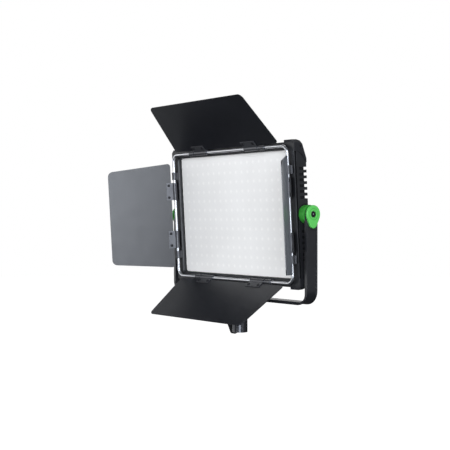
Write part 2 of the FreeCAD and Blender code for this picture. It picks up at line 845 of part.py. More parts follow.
def heat_sink():
    body = plate("heat_sink", "heat_sink_width", "heat_sink_height",
                 "reflector_back + board_thickness", "heat_sink_plate")
    fin = new_sketch(body, "XZ", "-(reflector_back + board_thickness + heat_sink_plate)", "fin")
    rectangle(fin, "heat_sink_fin", "heat_sink_height",
              "-heat_sink_fin_pitch * (heat_sink_fin_count - 1) / 2", "optic_centre_height")
    base_back = "(reflector_back + board_thickness + heat_sink_plate)"
    first = pad(body, fin, "heat_sink_back - %s" % base_back, backwards=True)
    row_of(body, first, "X", "heat_sink_fin_pitch * (heat_sink_fin_count - 1)",
           "heat_sink_fin_count", "fin_row")
    finish_part(body, "heat_sink", HEAD)


STANDOFF_PLACES = [("%sstandoff_half_x" % sx, "driver_board_centre_z %s standoff_half_z" % sz)
                   for sx in ("", "-") for sz in ("+", "-")]


def board_standoffs():
    front = "(reflector_back + board_thickness + heat_sink_plate)"
    body = new_body("board_standoffs")
    outline = new_sketch(body, "XZ", "-%s" % front)
    for x, z in STANDOFF_PLACES:
        circle(outline, "standoff_radius", x, z)
    pad(body, outline, "driver_board_front - %s" % front, backwards=True)
    finish_part(body, "board_standoffs", HEAD)


def driver_board():
    body = plate("driver_board", "driver_board_width", "driver_board_height",
                 "driver_board_front", "board_thickness", "driver_board_centre_z")
    finish_part(body, "driver_board", HEAD)


def driver_components():
    """Inductors, capacitors and a terminal block that stand on the driver board's back."""
    back = "driver_board_front + board_thickness"
    middle = "driver_board_centre_z"
    pieces = []
    for name, x in (("inductor_a", "inductor_first_x"),
                    ("inductor_b", "inductor_first_x + inductor_pitch")):
        place = "%s; %s; %s + inductor_z" % (x, back, middle)
        pieces.append(cylinder(name, "inductor_radius", "inductor_height", place, TO_Y))
    for i, name in enumerate(("capacitor_a", "capacitor_b", "capacitor_c")):
        place = "capacitor_first_x + %d * capacitor_pitch; %s; %s + capacitor_z" % (
            i, back, middle)
        pieces.append(cylinder(name, "capacitor_radius", "capacitor_height", place, TO_Y))
    for name in ("switch_chip", "dimmer_chip", "terminal_block"):
        size = [name + "_width", name + "_depth", name + "_height"]
        place = "%s_x; %s; %s + %s_z" % (name, back, middle, name)
        pieces.append(box(name, size, place))
    finish_part(fuse("driver_components", pieces), "driver_components", HEAD)


# Head: pivots ---------------------------------------------------------------------------

def pivot_ring(label, outer, inner, start, length, side):
    """A ring about the tilt axis from start outwards, on the side whose sign is given."""
    turn = TO_X if side == "" else TO_MINUS_X
    base = "%s(%s); 0; 0" % (side, start)
    ring = cut(label, cylinder(label + "_body", outer, length, base, turn),
               cylinder(label + "_bore", inner, length, base, turn))
    finish_part(ring, label, HEAD)


def pivots():
    for label, side in (("left", "-"), ("right", "")):
        pivot_ring("friction_disc_" + label, "disc_radius", "pivot_hole_radius",
                   "housing_half_width", "disc_outer - housing_half_width", side)
        pivot_ring("pivot_insert_" + label, "insert_radius",
                   "tilt_screw_radius + insert_bore_gap", "pivot_boss_inner",
                   "housing_half_width - pivot_boss_inner", side)


# Wire frame, its clips and the doors ------------------------------------------------------

def wire_frame():
    """A round-wire rectangle with bent corners, from straight rods and quarter rings."""
    radius = value("wire_radius")
    bend = value("wire_corner")
    half_width = value("wire_half_width")
    half_height = value("wire_half_height")
    front = value("wire_front")
    middle = value("optic_centre_height")
    straight_x, straight_z = half_width - bend, half_height - bend
    points = []
    for sx, sz, horizontal_first in ((1, 1, True), (1, -1, False), (-1, -1, True),
                                     (-1, 1, False)):
        on_top = Vector(sx * straight_x, front, middle + sz * half_height)
        on_side = Vector(sx * half_width, front, middle + sz * straight_z)
        lean = bend * math.sqrt(0.5)
        elbow = Vector(sx * (straight_x + lean), front, middle + sz * (straight_z + lean))
        ends = [on_top, elbow, on_side]
        points.append(ends if horizontal_first else ends[::-1])
    edges = []
    for i, (first, elbow, last) in enumerate(points):
        edges.append(Part.Arc(first, elbow, last).toShape())
        edges.append(Part.LineSegment(last, points[(i + 1) % 4][0]).toShape())
    spine = Part.Wire(edges)
    start = points[0][0]
    section = Part.Wire(Part.Circle(start, Vector(1, 0, 0), radius).toShape())
    ring = spine.makePipeShell([section], True, True)
    length = 4 * (straight_x + straight_z) + 2 * math.pi * bend
    if abs(ring.Volume - length * math.pi * radius ** 2) > 0.01 * ring.Volume:
        raise RuntimeError("the wire frame's volume is wrong")
    code_part("wire_frame", ring, HEAD)


def sleeve(body, length, offset, name):
    """A ring round the wire, centred at offset along the body's X axis."""
    ring = new_sketch(body, "YZ", "%s - (%s) / 2" % (offset, length), name)
    circle(ring, "sleeve_outer")
    circle(ring, "wire_radius + sleeve_bore_gap")
    pad(body, ring, length)


def frame_clip(name):
    """One clip at the origin, wire along X: a ring with a foot on the bezel's face."""
    body = new_body(name)
    sleeve(body, "clip_length", "0", "ring")
    foot = new_sketch(body, "YZ", "-clip_length / 2", "foot")
    rise = "bezel_front - wire_front"
    near = "wire_radius + sleeve_bore_gap + clip_foot_wall"
    polygon(foot, [(near, "-clip_foot_neck"), (rise, "-clip_foot_half"),
                   (rise, "clip_foot_half"), (near, "clip_foot_neck")])
    pad(body, foot, "clip_length")
    doc.recompute()
    return body


def frame_clips():
    """Eight clips, one sub-part of separate solids: copies of one clip about the wire."""
    clip = frame_clip("frame_clip_pattern").Shape
    front = value("wire_front")
    middle = value("optic_centre_height")
    copies = []
    for side in (1, -1):
        for across in (1, -1):
            place = Vector(across * value("clip_centre_across"), front,
                           middle + side * value("wire_half_height"))
            copies.append(clip.transformed(Placement(place, Rotation()).toMatrix(), True))
        for up in (1, -1):
            place = Vector(side * value("wire_half_width"), front,
                           middle + up * value("clip_centre_up"))
            turn = Rotation(Vector(0, 1, 0), 90)
            copies.append(clip.transformed(Placement(place, turn).toMatrix(), True))
    code_part("frame_clips", Part.makeCompound(copies), HEAD)


def rivet_places(kind):
    offset, length = "%s_hinge_offset" % kind, "%s_hinge_length" % kind
    reach = "(%s / 2 - rivet_inset)" % length
    return [("%s(%s %s %s)" % (side, offset, sign, reach), "rivet_height")
            for side in ("", "-") for sign in ("+", "-")]


def door_sheet(side, kind):
    """The flap: a trapezoid with rounded corners and four rivet holes."""
    label = side + "_door"
    body = new_body(label)
    outline = new_sketch(body, "XZ", "0")
    hinge, outer = "%s_door_hinge_half" % kind, "%s_door_outer_half" % kind
    end = "%s_door_length" % kind
    polygon(outline, [("-" + hinge, "door_start"), (hinge, "door_start"),
                      (outer, end), ("-" + outer, end)])
    pad(body, outline, "door_thickness", midplane=True)
    middle = (value("door_start") + value(end)) / 2
    round_edges(body, "door_corner", lambda e: along(e, 1) and e.Vertexes[0].Z > middle)
    round_edges(body, "door_inner_corner", lambda e: along(e, 1)
                and e.Vertexes[0].Z < middle)
    holes = new_sketch(body, "XZ", "0", "rivet_holes")
    for x, z in rivet_places(kind):
        circle(holes, "rivet_radius", x, z)
    pocket(body, holes, "4 * door_thickness", midplane=True)
    finish_part(body, label, DOOR_PLACES[side])


def hinge_clips(side, kind):
    """Two folded plates round the wire that grip the flap between their tongues."""
    label = "hinge_clips_" + side
    body = new_body(label)
    length = "%s_hinge_length" % kind
    face = "door_thickness / 2"
    for sign in ("", "-"):
        tag = "b" if sign else "a"
        centre = "%s(%s_hinge_offset)" % (sign, kind)
        sleeve(body, length, centre, "ring_" + tag)
        tongues = new_sketch(body, "YZ", "%s - %s / 2" % (centre, length), "tongues_" + tag)
        for cheek in ("", "-"):
            polygon(tongues, [("%s(%s)" % (cheek, face), "tongue_start"),
                              ("%s(%s + tongue_thickness)" % (cheek, face), "tongue_start"),
                              ("%s(%s + tongue_thickness)" % (cheek, face), "tongue_end"),
                              ("%s(%s)" % (cheek, face), "tongue_end")])
        pad(body, tongues, length)
    holes = new_sketch(body, "XZ", "0", "rivet_holes")
    for x, z in rivet_places(kind):
        circle(holes, "rivet_radius", x, z)
    pocket(body, holes, "8 * tongue_thickness", midplane=True)
    finish_part(body, label, DOOR_PLACES[side])


def rivets(side, kind):
    label = "rivets_" + side
    body = new_body(label)
    grip = "(door_thickness / 2 + tongue_thickness)"
    shanks = new_sketch(body, "XZ", "0", "shanks")
    for x, z in rivet_places(kind):
        circle(shanks, "rivet_radius", x, z)
    pad(body, shanks, "2 * " + grip, midplane=True)
    for sign, backwards in (("", False), ("-", True)):
        heads = new_sketch(body, "XZ", "%s%s" % (sign, grip), "heads_" + ("b" if sign else "a"))
        for x, z in rivet_places(kind):
            circle(heads, "rivet_head_radius", x, z)
        pad(body, heads, "rivet_head_height", backwards=backwards)
    finish_part(body, label, DOOR_PLACES[side])


def doors():
    for side, kind in (("top", "long"), ("bottom", "long"), ("left", "side"), ("right", "side")):
        door_sheet(side, kind)
        hinge_clips(side, kind)
        rivets(side, kind)


# Yoke, socket and lock --------------------------------------------------------------------

def yoke_channel(sketch, sign):
    """The shallow channel down the outside of one arm and round its corner, seen along Y."""
    floor_x = "(yoke_outer_half - yoke_recess_depth)"
    floor_z = "(yoke_bar_bottom + yoke_recess_depth)"
    bend_x = "(yoke_outer_half - yoke_outer_corner)"
    bend_z = "(yoke_bar_bottom + yoke_outer_corner)"
    outside_x = "(yoke_outer_half + cut_margin)"
    outside_z = "(yoke_bar_bottom - cut_margin)"
    corners = [(bend_x, floor_z), ("yoke_recess_inner_x", floor_z),
               ("yoke_recess_inner_x", outside_z), (outside_x, outside_z),
               (outside_x, "yoke_recess_top"), (floor_x, "yoke_recess_top"),
               (floor_x, bend_z)]
    corners = [(sign + x, z) for x, z in corners]
    points = [Vector(value(x), value(z), 0) for x, z in corners]
    first = sketch.GeometryCount
    for near, far in zip(points, points[1:]):
        sketch.addGeometry(Part.LineSegment(near, far), False)
    centre = Vector(value(sign + bend_x), value(bend_z), 0)
    radius = value("yoke_outer_corner - yoke_recess_depth")
    lean = radius * math.sqrt(0.5)
    middle = centre + Vector(lean if sign == "" else -lean, -lean, 0)
    bend = sketch.addGeometry(Part.Arc(points[-1], middle, points[0]), False)
    last = bend - 1
    for edge in range(first, last):
        sketch.addConstraint(Sketcher.Constraint("Coincident", edge, 2, edge + 1, 1))
    for edge, (x, z) in enumerate(corners[:-1], start=first):
        pin_point(sketch, edge, 1, x, z)
    pin_point(sketch, last, 2, *corners[-1])
    # Part.Arc stores its ends anticlockwise, so the right bend starts at the bar.
    bar_end, arm_end = (1, 2) if sign == "" else (2, 1)
    sketch.addConstraint(Sketcher.Constraint("Coincident", bend, bar_end, first, 1))
    sketch.addConstraint(Sketcher.Constraint("Coincident", bend, arm_end, last, 2))
    sketch.addConstraint(Sketcher.Constraint("Radius", bend, radius))


def yoke_bracket():
    """A flat bar bent into a U, with round ends at the pivots."""
    body = new_body("yoke_bracket")
    outline = new_sketch(body, "XZ", "0")
    inner, outer = "yoke_inner_half", "yoke_outer_half"
    polygon(outline, [
        ("-" + outer, "yoke_bar_bottom"), (outer, "yoke_bar_bottom"),
        (outer, "tilt_axis_height + yoke_half_depth"),
        (inner, "tilt_axis_height + yoke_half_depth"),
        (inner, "yoke_bar_top"), ("-" + inner, "yoke_bar_top"),
        ("-" + inner, "tilt_axis_height + yoke_half_depth"),
        ("-" + outer, "tilt_axis_height + yoke_half_depth")])
    pad(body, outline, "2 * yoke_half_depth", midplane=True)
    inner_x, outer_x = value(inner), value(outer)
    top, bottom = value("yoke_bar_top"), value("yoke_bar_bottom")

    def corner(x, z):
        return lambda e: (along(e, 1) and abs(abs(e.Vertexes[0].X) - x) < NEAR
                          and abs(e.Vertexes[0].Z - z) < NEAR)

    round_edges(body, "yoke_inner_corner", corner(inner_x, top))
    round_edges(body, "yoke_outer_corner", corner(outer_x, bottom))
    arm_top = value("tilt_axis_height + yoke_half_depth")
    round_edges(body, "yoke_half_depth - arm_end_flat", lambda e: along(e, 0)
                and abs(e.Vertexes[0].Z - arm_top) < NEAR)
    pivots_line = new_sketch(body, "YZ", "0", "pivot_holes")
    circle(pivots_line, "pivot_hole_radius", "0", "tilt_axis_height")
    pocket(body, pivots_line, "4 * yoke_outer_half", midplane=True)
    channel = new_sketch(body, "XZ", "0", "channel")
    for sign in ("", "-"):
        yoke_channel(channel, sign)
    pocket(body, channel, "2 * (yoke_half_depth - yoke_rim)", midplane=True)
    bolt = new_sketch(body, "XY", "yoke_bar_top + cut_margin", "bolt_hole")
    circle(bolt, "socket_bolt_radius + control_gap")
    pocket(body, bolt, "yoke_bar_top - yoke_bar_bottom + 2 * cut_margin")
    finish_part(body, "yoke_bracket")


def stand_socket():
    """A turned receiver for a 16 mm stand spigot, with a boss for the lock screw."""
    body = new_body("stand_socket")
    barrel = new_sketch(body, "XY", "0", "barrel")
    circle(barrel, "socket_radius")
    pad(body, barrel, "yoke_bar_bottom")
    collar = new_sketch(body, "XY", "yoke_bar_bottom", "collar")
    circle(collar, "socket_collar_radius")
    pad(body, collar, "socket_collar_height", backwards=True)
    boss = new_sketch(body, "YZ", "-lock_boss_end", "lock_boss")
    circle(boss, "lock_boss_radius", "0", "lock_axis_height")
    pad(body, boss, "lock_boss_end - socket_bore_radius")
    bore = new_sketch(body, "XY", "0", "spigot_bore")
    circle(bore, "socket_bore_radius")
    pocket(body, bore, "socket_bore_depth", backwards=True)
    thread = new_sketch(body, "YZ", "-lock_boss_end", "lock_thread")
    circle(thread, "lock_screw_radius + running_gap", "0", "lock_axis_height")
    pocket(body, thread, "lock_boss_end", backwards=True)
    tapping = new_sketch(body, "XY", "yoke_bar_bottom", "bolt_thread")
    circle(tapping, "socket_bolt_radius")
    pocket(body, tapping, "socket_bolt_depth")
    finish_part(body, "stand_socket")


def socket_fasteners():
    """A washer and a hexagon-socket bolt that hold the socket under the yoke's bar."""
    place = "0; 0; yoke_bar_top"
    washer = cut("socket_washer",
                 cylinder("washer_disc", "washer_radius", "washer_thickness", place),
                 cylinder("washer_hole", "socket_bolt_radius + control_gap",
                          "washer_thickness", place))
    finish_part(washer, "socket_washer")
    body = new_body("socket_bolt")
    head = new_sketch(body, "XY", "yoke_bar_top + washer_thickness", "head")
    circle(head, "socket_bolt_head_radius")
    pad(body, head, "socket_bolt_head_height")
    shank = new_sketch(body, "XY", "yoke_bar_top + washer_thickness", "shank")
    circle(shank, "socket_bolt_radius")
    pad(body, shank, "yoke_bar_top + washer_thickness - yoke_bar_bottom + socket_bolt_depth",
        backwards=True)
    drive = new_sketch(body, "XY",
                       "yoke_bar_top + washer_thickness + socket_bolt_head_height", "drive")
    hexagon(drive, "socket_bolt_hex")
    pocket(body, drive, "socket_bolt_head_height / 2")
    finish_part(body, "socket_bolt")


def hexagon(sketch, radius):
    half = "(%s) / 2" % radius
    flat = "(%s) * sqrt(3) / 2" % radius
    polygon(sketch, [("(%s)" % radius, "0"), (half, flat), ("-" + half, flat),
                     ("-(%s)" % radius, "0"), ("-" + half, "-" + flat), (half, "-" + flat)])


def stand_lock():
    """A wing knob whose screw clamps the spigot through the socket's side."""
    body = new_body("lock_knob")
    hub = new_sketch(body, "YZ", "-lock_hub_outer", "hub")
    circle(hub, "lock_hub_radius", "0", "lock_axis_height")
    pad(body, hub, "lock_hub_outer - lock_hub_inner")
    for sign in ("", "-"):
        wing = new_sketch(body, "YZ", "-lock_hub_outer", "wing_" + ("b" if sign else "a"))
        far = "lock_axis_height + %s(lock_wing_length)" % sign
        polygon(wing, [("-lock_wing_half_root", "lock_axis_height"),
                       ("lock_wing_half_root", "lock_axis_height"),
                       ("lock_wing_half_tip", far), ("-lock_wing_half_tip", far)])
        pad(body, wing, "lock_wing_thickness")
    reach = value("lock_wing_length") - 0.01
    middle = value("lock_axis_height")
    round_edges(body, "lock_wing_half_tip - lock_wing_flat", lambda e: along(e, 0)
                and abs(e.Vertexes[0].Z - middle) > reach)
    seat = new_sketch(body, "YZ", "-lock_hub_inner", "screw_seat")
    circle(seat, "lock_screw_radius", "0", "lock_axis_height")
    pocket(body, seat, "lock_hub_outer - lock_hub_inner - lock_hub_cap")
    finish_part(body, "lock_knob", at("0", "0", "lock_axis_height",
                                      turned("1; 0; 0", "lock_rest_angle")) + " * "
                + at("0", "0", "-lock_axis_height"))
    length = "lock_hub_outer - lock_hub_cap - lock_screw_tip"
    screw = cylinder("lock_screw", "lock_screw_radius", length,
                     "-lock_screw_tip; 0; lock_axis_height", TO_MINUS_X)
    PARTS.append(screw)


# Tilt knobs -----------------------------------------------------------------------------

def pear_outline(sketch):
    """Two circles of different size joined by their outer tangents, the small one below."""
    big, small = value("knob_radius"), value("knob_lobe_radius")
    drop = value("knob_lobe_drop")
    lean = math.asin((big - small) / drop)
    across, up = math.cos(lean), -math.sin(lean)
    right_big = Vector(big * across, big * up, 0)
    right_small = Vector(small * across, -drop + small * up, 0)
    left_big = Vector(-right_big.x, right_big.y, 0)
    left_small = Vector(-right_small.x, right_small.y, 0)
    arcs = [Part.Arc(right_big, Vector(0, big, 0), left_big),
            Part.LineSegment(left_big, left_small),
            Part.Arc(left_small, Vector(0, -drop - small, 0), right_small),
            Part.LineSegment(right_small, right_big)]
    sketch.addGeometry(arcs, False)
    for edge, following in ((0, 1), (1, 2), (2, 3), (3, 0)):
        sketch.addConstraint(Sketcher.Constraint("Tangent", edge, 2, following, 1))
    pin_point(sketch, 0, 3, "0", "0")
    pin_point(sketch, 2, 3, "0", "-knob_lobe_drop")
    for edge, radius in ((0, "knob_radius"), (2, "knob_lobe_radius")):
        index = sketch.addConstraint(Sketcher.Constraint("Radius", edge, value(radius)))
        sketch.setExpression("Constraints[%d]" % index, bound(radius))


def tilt_knob(side, sign):
    """The green cap: sign is the side's sign along X. It hangs on the tilt axis."""
    label = "tilt_knob_" + side
    backwards = sign == "-"
    body = new_body(label)
    outline = new_sketch(body, "YZ", sign + "knob_inner")
    pear_outline(outline)
    pad(body, outline, "knob_outer - knob_inner", backwards=backwards)
    face = value("knob_outer")
    round_edges(body, "knob_edge_round",
                lambda e: all(abs(abs(v.X) - face) < NEAR for v in e.Vertexes))
    recess = new_sketch(body, "YZ", sign + "knob_outer", "recess")
    circle(recess, "knob_recess_radius")
    pocket(body, recess, "knob_recess_depth", backwards=backwards)
    hole = new_sketch(body, "YZ", sign + "knob_outer", "screw_hole")
    circle(hole, "tilt_screw_radius")
    pocket(body, hole, "knob_outer - knob_inner", backwards=backwards)
    finish_part(body, label, at("0", "0", "tilt_axis_height"))

    label = "tilt_screw_" + side
    body = new_body(label)
    seat = sign + "(knob_outer - knob_recess_depth)"
    shank = new_sketch(body, "YZ", seat, "shank")
    circle(shank, "tilt_screw_radius")
    pad(body, shank, "knob_outer - knob_recess_depth - tilt_screw_end", backwards=not backwards)
    head = new_sketch(body, "YZ", seat, "head")
    circle(head, "tilt_screw_head_radius")
    pad(body, head, "tilt_screw_head_height", backwards=backwards)
    drive = new_sketch(body, "YZ",
                       sign + "(knob_outer - knob_recess_depth + tilt_screw_head_height)",
                       "drive")
    hexagon(drive, "tilt_screw_hex")
    pocket(body, drive, "tilt_screw_hex_depth", backwards=backwards)
    finish_part(body, label, at("0", "0", "tilt_axis_height"))


# Controls on the back -------------------------------------------------------------------

def control_panel():
    """The plate over the housing's rear opening, pierced for each control."""
    body = new_body("control_panel")
    outline = new_sketch(body, "XZ", "-(rear_face)")
    rectangle(outline, "panel_width", "panel_height")
    pad(body, outline, "panel_thickness", backwards=True)
    half = value("panel_width / 2")
    round_edges(body, "panel_corner", lambda e: along(e, 1)
                and abs(abs(e.Vertexes[0].X) - half) < NEAR)
    holes = new_sketch(body, "XZ", "-(rear_face + panel_thickness)", "holes")
    rectangle(holes, "window_width", "window_height", "0", "window_centre_z")
    for sign in ("", "-"):
        circle(holes, "dial_stem_radius + control_gap", sign + "dial_x", "dial_z")
        rectangle(holes, "button_width + 2 * control_gap", "button_height + 2 * control_gap",
                  sign + "button_x", "button_z")
    rectangle(holes, "2 * (rocker_half_width + control_gap)",
              "2 * (rocker_half_length + rocker_end_gap)", "rocker_x", "rocker_z")
    circle(holes, "inlet_radius", "inlet_x", "inlet_z")
    pocket(body, holes, "panel_thickness", backwards=True)
    finish_part(body, "control_panel", HEAD)


def display():
    body = plate("display_window", "window_width", "window_height",
                 "rear_face + panel_thickness - window_glass", "window_glass",
                 "window_centre_z")
    finish_part(body, "display_window", HEAD)
    body = plate("display_module", "window_width - 2 * display_margin",
                 "window_height - 2 * display_margin", "rear_face - display_depth",
                 "panel_thickness - window_glass + display_depth", "window_centre_z")
    finish_part(body, "display_module", HEAD)


def dial(label, sign):
    """A fluted knob on a stem that passes through the panel."""
    body = new_body(label)
    top = "rear_face + panel_thickness + control_gap"
    cap = new_sketch(body, "XZ", "-(%s)" % top, "cap")
    circle(cap, "dial_radius")
    pad(body, cap, "dial_height", backwards=True)
    stem = new_sketch(body, "XZ", "-(%s)" % top, "stem")
    circle(stem, "dial_stem_radius")
    pad(body, stem, "panel_thickness + dial_stem_tail")
    crown = value(top) + value("dial_height")
    round_edges(body, "dial_edge_round", lambda e: all(abs(v.Y - crown) < NEAR
                                                       for v in e.Vertexes))
    flute = new_sketch(body, "XZ", "-(%s + cut_margin)" % top, "flute")
    circle(flute, "dial_flute_radius", "dial_flute_centre", "0")
    groove = pocket(body, flute, "2 * dial_height")
    turns = body.newObject("PartDesign::PolarPattern", label + "_flutes")
    axes = [f for f in body.Origin.OriginFeatures if f.Role == "Y_Axis"]
    turns.Originals = [groove]
    turns.Axis = (axes[0], [""])
    turns.Angle = 360
    bind(turns, Occurrences="dial_grip_count")
    body.Tip = turns
    finish_part(body, label, HEAD + " * " + at(sign + "dial_x", "0", "dial_z"))


def push_button(label, sign):
    body = new_body(label)
    outline = new_sketch(body, "XZ", "-(rear_face)")
    rectangle(outline, "button_width", "button_height", sign + "button_x", "button_z")
    pad(body, outline, "panel_thickness + button_proud", backwards=True)
    crown = value("rear_face + panel_thickness + button_proud")
    round_edges(body, "button_corner", lambda e: along(e, 1))
    round_edges(body, "button_edge_round", lambda e: all(abs(v.Y - crown) < NEAR
                                                         for v in e.Vertexes))
    finish_part(body, label, HEAD)


def power_rocker():
    """A rocker with a shallow V top on two trunnions, stored with its lower half pressed in."""
    body = new_body("power_rocker")
    outline = new_sketch(body, "YZ", "-rocker_half_width", "section")
    polygon(outline, [
        ("0", "-rocker_half_length + rocker_end_slope"),
        ("rocker_end_height", "-rocker_half_length"), ("rocker_mid_height", "0"),
        ("rocker_end_height", "rocker_half_length"),
        ("0", "rocker_half_length - rocker_end_slope")])
    pad(body, outline, "2 * rocker_half_width")
    trunnion = new_sketch(body, "YZ", "0", "trunnion")
    circle(trunnion, "rocker_trunnion_radius")
    pad(body, trunnion, "2 * (rocker_half_width + control_gap / 2)", midplane=True)
    finish_part(body, "power_rocker", " * ".join([
        HEAD, at("rocker_x", "rear_face - rocker_axis_depth", "rocker_z",
                 turned("1; 0; 0", "-rocker_rest_angle"))]))


def dc_inlet():
    """A barrel socket with its centre pin."""
    body = new_body("dc_inlet")
    outline = new_sketch(body, "XZ", "-(rear_face + panel_thickness)")
    circle(outline, "inlet_radius", "inlet_x", "inlet_z")
    pad(body, outline, "panel_thickness + inlet_body_length")
    flange = new_sketch(body, "XZ", "-(rear_face + panel_thickness)", "flange")
    circle(flange, "inlet_flange_radius", "inlet_x", "inlet_z")
    pad(body, flange, "inlet_flange_height", backwards=True)
    mouth = new_sketch(body, "XZ", "-(rear_face + panel_thickness + inlet_flange_height)",
                       "mouth")
    circle(mouth, "inlet_bore_radius", "inlet_x", "inlet_z")
    circle(mouth, "inlet_pin_radius", "inlet_x", "inlet_z")
    pocket(body, mouth, "inlet_bore_depth", backwards=True)
    finish_part(body, "dc_inlet", HEAD)


def battery_mount(side, sign):
    """A plate with two lipped rails that a battery slides down between."""
    label = "battery_plate_" + side
    centre_x = sign + "battery_x"
    body = new_body(label)
    base = new_sketch(body, "XZ", "-(rear_face)", "base")
    rectangle(base, "battery_plate_width", "battery_plate_height", centre_x, "battery_z")
    pad(body, base, "battery_plate_thickness", backwards=True)
    for edge in ("+", "-"):
        tag = "a" if edge == "+" else "b"
        rail = new_sketch(body, "XZ", "-(rear_face + battery_plate_thickness)", "rail_" + tag)
        middle = "%s %s (battery_plate_width - battery_rail_width) / 2" % (centre_x, edge)
        rectangle(rail, "battery_rail_width", "battery_plate_height", middle, "battery_z")
        pad(body, rail, "battery_rail_height", backwards=True)
        lip = new_sketch(body, "XZ", "-(rear_face + battery_plate_thickness"
                         " + battery_rail_height)", "lip_" + tag)
        middle = ("%s %s (battery_plate_width / 2 - battery_rail_width - battery_lip / 2)"
                  % (centre_x, edge))
        rectangle(lip, "battery_lip", "battery_lip_length", middle,
                  "battery_z - battery_lip_drop")
        pad(body, lip, "battery_lip_thickness")
    window = new_sketch(body, "XZ", "-(rear_face + battery_plate_thickness)", "latch_hole")
    rectangle(window, "latch_width + 2 * control_gap", "latch_height + 2 * control_gap",
              centre_x, "battery_z - latch_drop")
    pocket(body, window, "battery_plate_thickness", backwards=True)
    finish_part(body, label, HEAD)

    label = "battery_latch_" + side
    body = new_body(label)
    catch = new_sketch(body, "XZ", "-(rear_face + latch_base)", "catch")
    rectangle(catch, "latch_width", "latch_height", centre_x, "battery_z - latch_drop")
    pad(body, catch, "latch_depth", backwards=True)
    low = value("battery_z - latch_drop - latch_height / 2")
    crown = value("rear_face + latch_base + latch_depth")
    round_edges(body, "latch_ramp", lambda e: along(e, 0) and abs(e.Vertexes[0].Z - low) > 1
                and abs(e.Vertexes[0].Y - crown) < NEAR, "Chamfer")
    finish_part(body, label, HEAD)


def battery_contacts():
    """Three spring blades on each plate, one sub-part of separate solids."""
    body = new_body("battery_contacts")
    outline = new_sketch(body, "XZ", "-(rear_face + battery_plate_thickness)")
    for sign in ("", "-"):
        for step in ("- contact_pitch", "", "+ contact_pitch"):
            rectangle(outline, "contact_width", "contact_length",
                      "%sbattery_x %s" % (sign, step), "battery_z + contact_rise")
    pad(body, outline, "contact_height", backwards=True)
    crown = value("rear_face + battery_plate_thickness + contact_height")
    round_edges(body, "contact_slope", lambda e: along(e, 0)
                and abs(e.Vertexes[0].Y - crown) < NEAR, "Chamfer")
    finish_part(body, "battery_contacts", HEAD)


# Build, check and write -----------------------------------------------------------------

def build():
    front_bezel()
    rear_housing()
    for end, end_sign in (("upper", ""), ("lower", "-")):
        for side, side_sign in (("left", "-"), ("right", "")):
            corner_bumper("bumper_%s_%s" % (end, side), side_sign, end_sign)
    housing_screws()
    diffuser_sheet()
    reflector_frame()
    led_board()
    led_chips()
    heat_sink()
    board_standoffs()
    driver_board()
    driver_components()
    pivots()
    wire_frame()
    frame_clips()
    doors()
    yoke_bracket()
    stand_socket()
    socket_fasteners()
    stand_lock()
    for side, sign in (("left", "-"), ("right", "")):
        tilt_knob(side, sign)
        battery_mount(side, sign)
    battery_contacts()
    control_panel()
    display()
    dial("brightness_dial", "-")
    dial("colour_dial", "")
    push_button("mode_button", "-")
    push_button("menu_button", "")
    power_rocker()
    dc_inlet()


def check():
    doc.recompute()
    for thing in doc.Objects:
        if "Invalid" in thing.State or "Error" in thing.State:
            raise RuntimeError("%s is in state %s" % (thing.Name, thing.State))
    for part in PARTS:
        if part.Shape.isNull() or not part.Shape.isValid():
            raise RuntimeError("%s has a bad shape" % part.Label)


def write():
    os.makedirs("parts", exist_ok=True)
    for part in PARTS:
        part.Shape.exportStep(os.path.join("parts", part.Label + ".step"))


build()
check()
write()
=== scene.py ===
import json
import math

import bmesh
import bpy
from mathutils import Matrix, Vector
from mathutils.bvhtree import BVHTree


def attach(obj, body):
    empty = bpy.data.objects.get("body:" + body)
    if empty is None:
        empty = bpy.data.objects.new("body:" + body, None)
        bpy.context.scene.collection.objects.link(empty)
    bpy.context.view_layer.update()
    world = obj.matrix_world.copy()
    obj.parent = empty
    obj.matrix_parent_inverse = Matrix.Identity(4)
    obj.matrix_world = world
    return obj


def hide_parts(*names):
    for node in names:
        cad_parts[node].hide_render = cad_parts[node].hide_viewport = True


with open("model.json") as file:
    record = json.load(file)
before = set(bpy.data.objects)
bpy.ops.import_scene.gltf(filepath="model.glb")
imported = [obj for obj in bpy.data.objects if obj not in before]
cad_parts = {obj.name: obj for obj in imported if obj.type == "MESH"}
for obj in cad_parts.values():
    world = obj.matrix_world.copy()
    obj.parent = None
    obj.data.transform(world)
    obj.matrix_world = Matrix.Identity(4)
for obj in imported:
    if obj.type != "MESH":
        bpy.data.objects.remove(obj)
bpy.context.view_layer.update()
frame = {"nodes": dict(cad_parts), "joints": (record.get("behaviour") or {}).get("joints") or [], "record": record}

# An LED panel light on a yoke. Lengths are in metres, and angles in radians unless a comment
# says degrees. The head's frame has its origin on the tilt axis, X to the right, Y to the rear
# and Z up the head, and HEAD takes it to the object's own frame at rest.

MM = 0.001
JOINTS = {joint["name"]: joint for joint in frame["joints"]}
TILT_CENTRE = Vector(JOINTS["head_tilt"]["pos_m"])
HEAD_BACK = Vector(JOINTS["brightness_turn"]["axis"])
REST_TILT = math.atan2(HEAD_BACK.z, HEAD_BACK.y)
HEAD = Matrix.Translation(TILT_CENTRE) @ Matrix.Rotation(REST_TILT, 4, "X")
SLOTS = {part["node"]: part["material_slot"] for part in frame["record"]["subparts"]}


# Shader building ----------------------------------------------------------------------------

def grey(tone):
    return (tone, tone, tone)


def tinted(colour, amount):
    """The colour made lighter by a share of itself, or darker where the amount is negative."""
    return tuple(min(1.0, part * (1.0 + amount)) for part in colour)


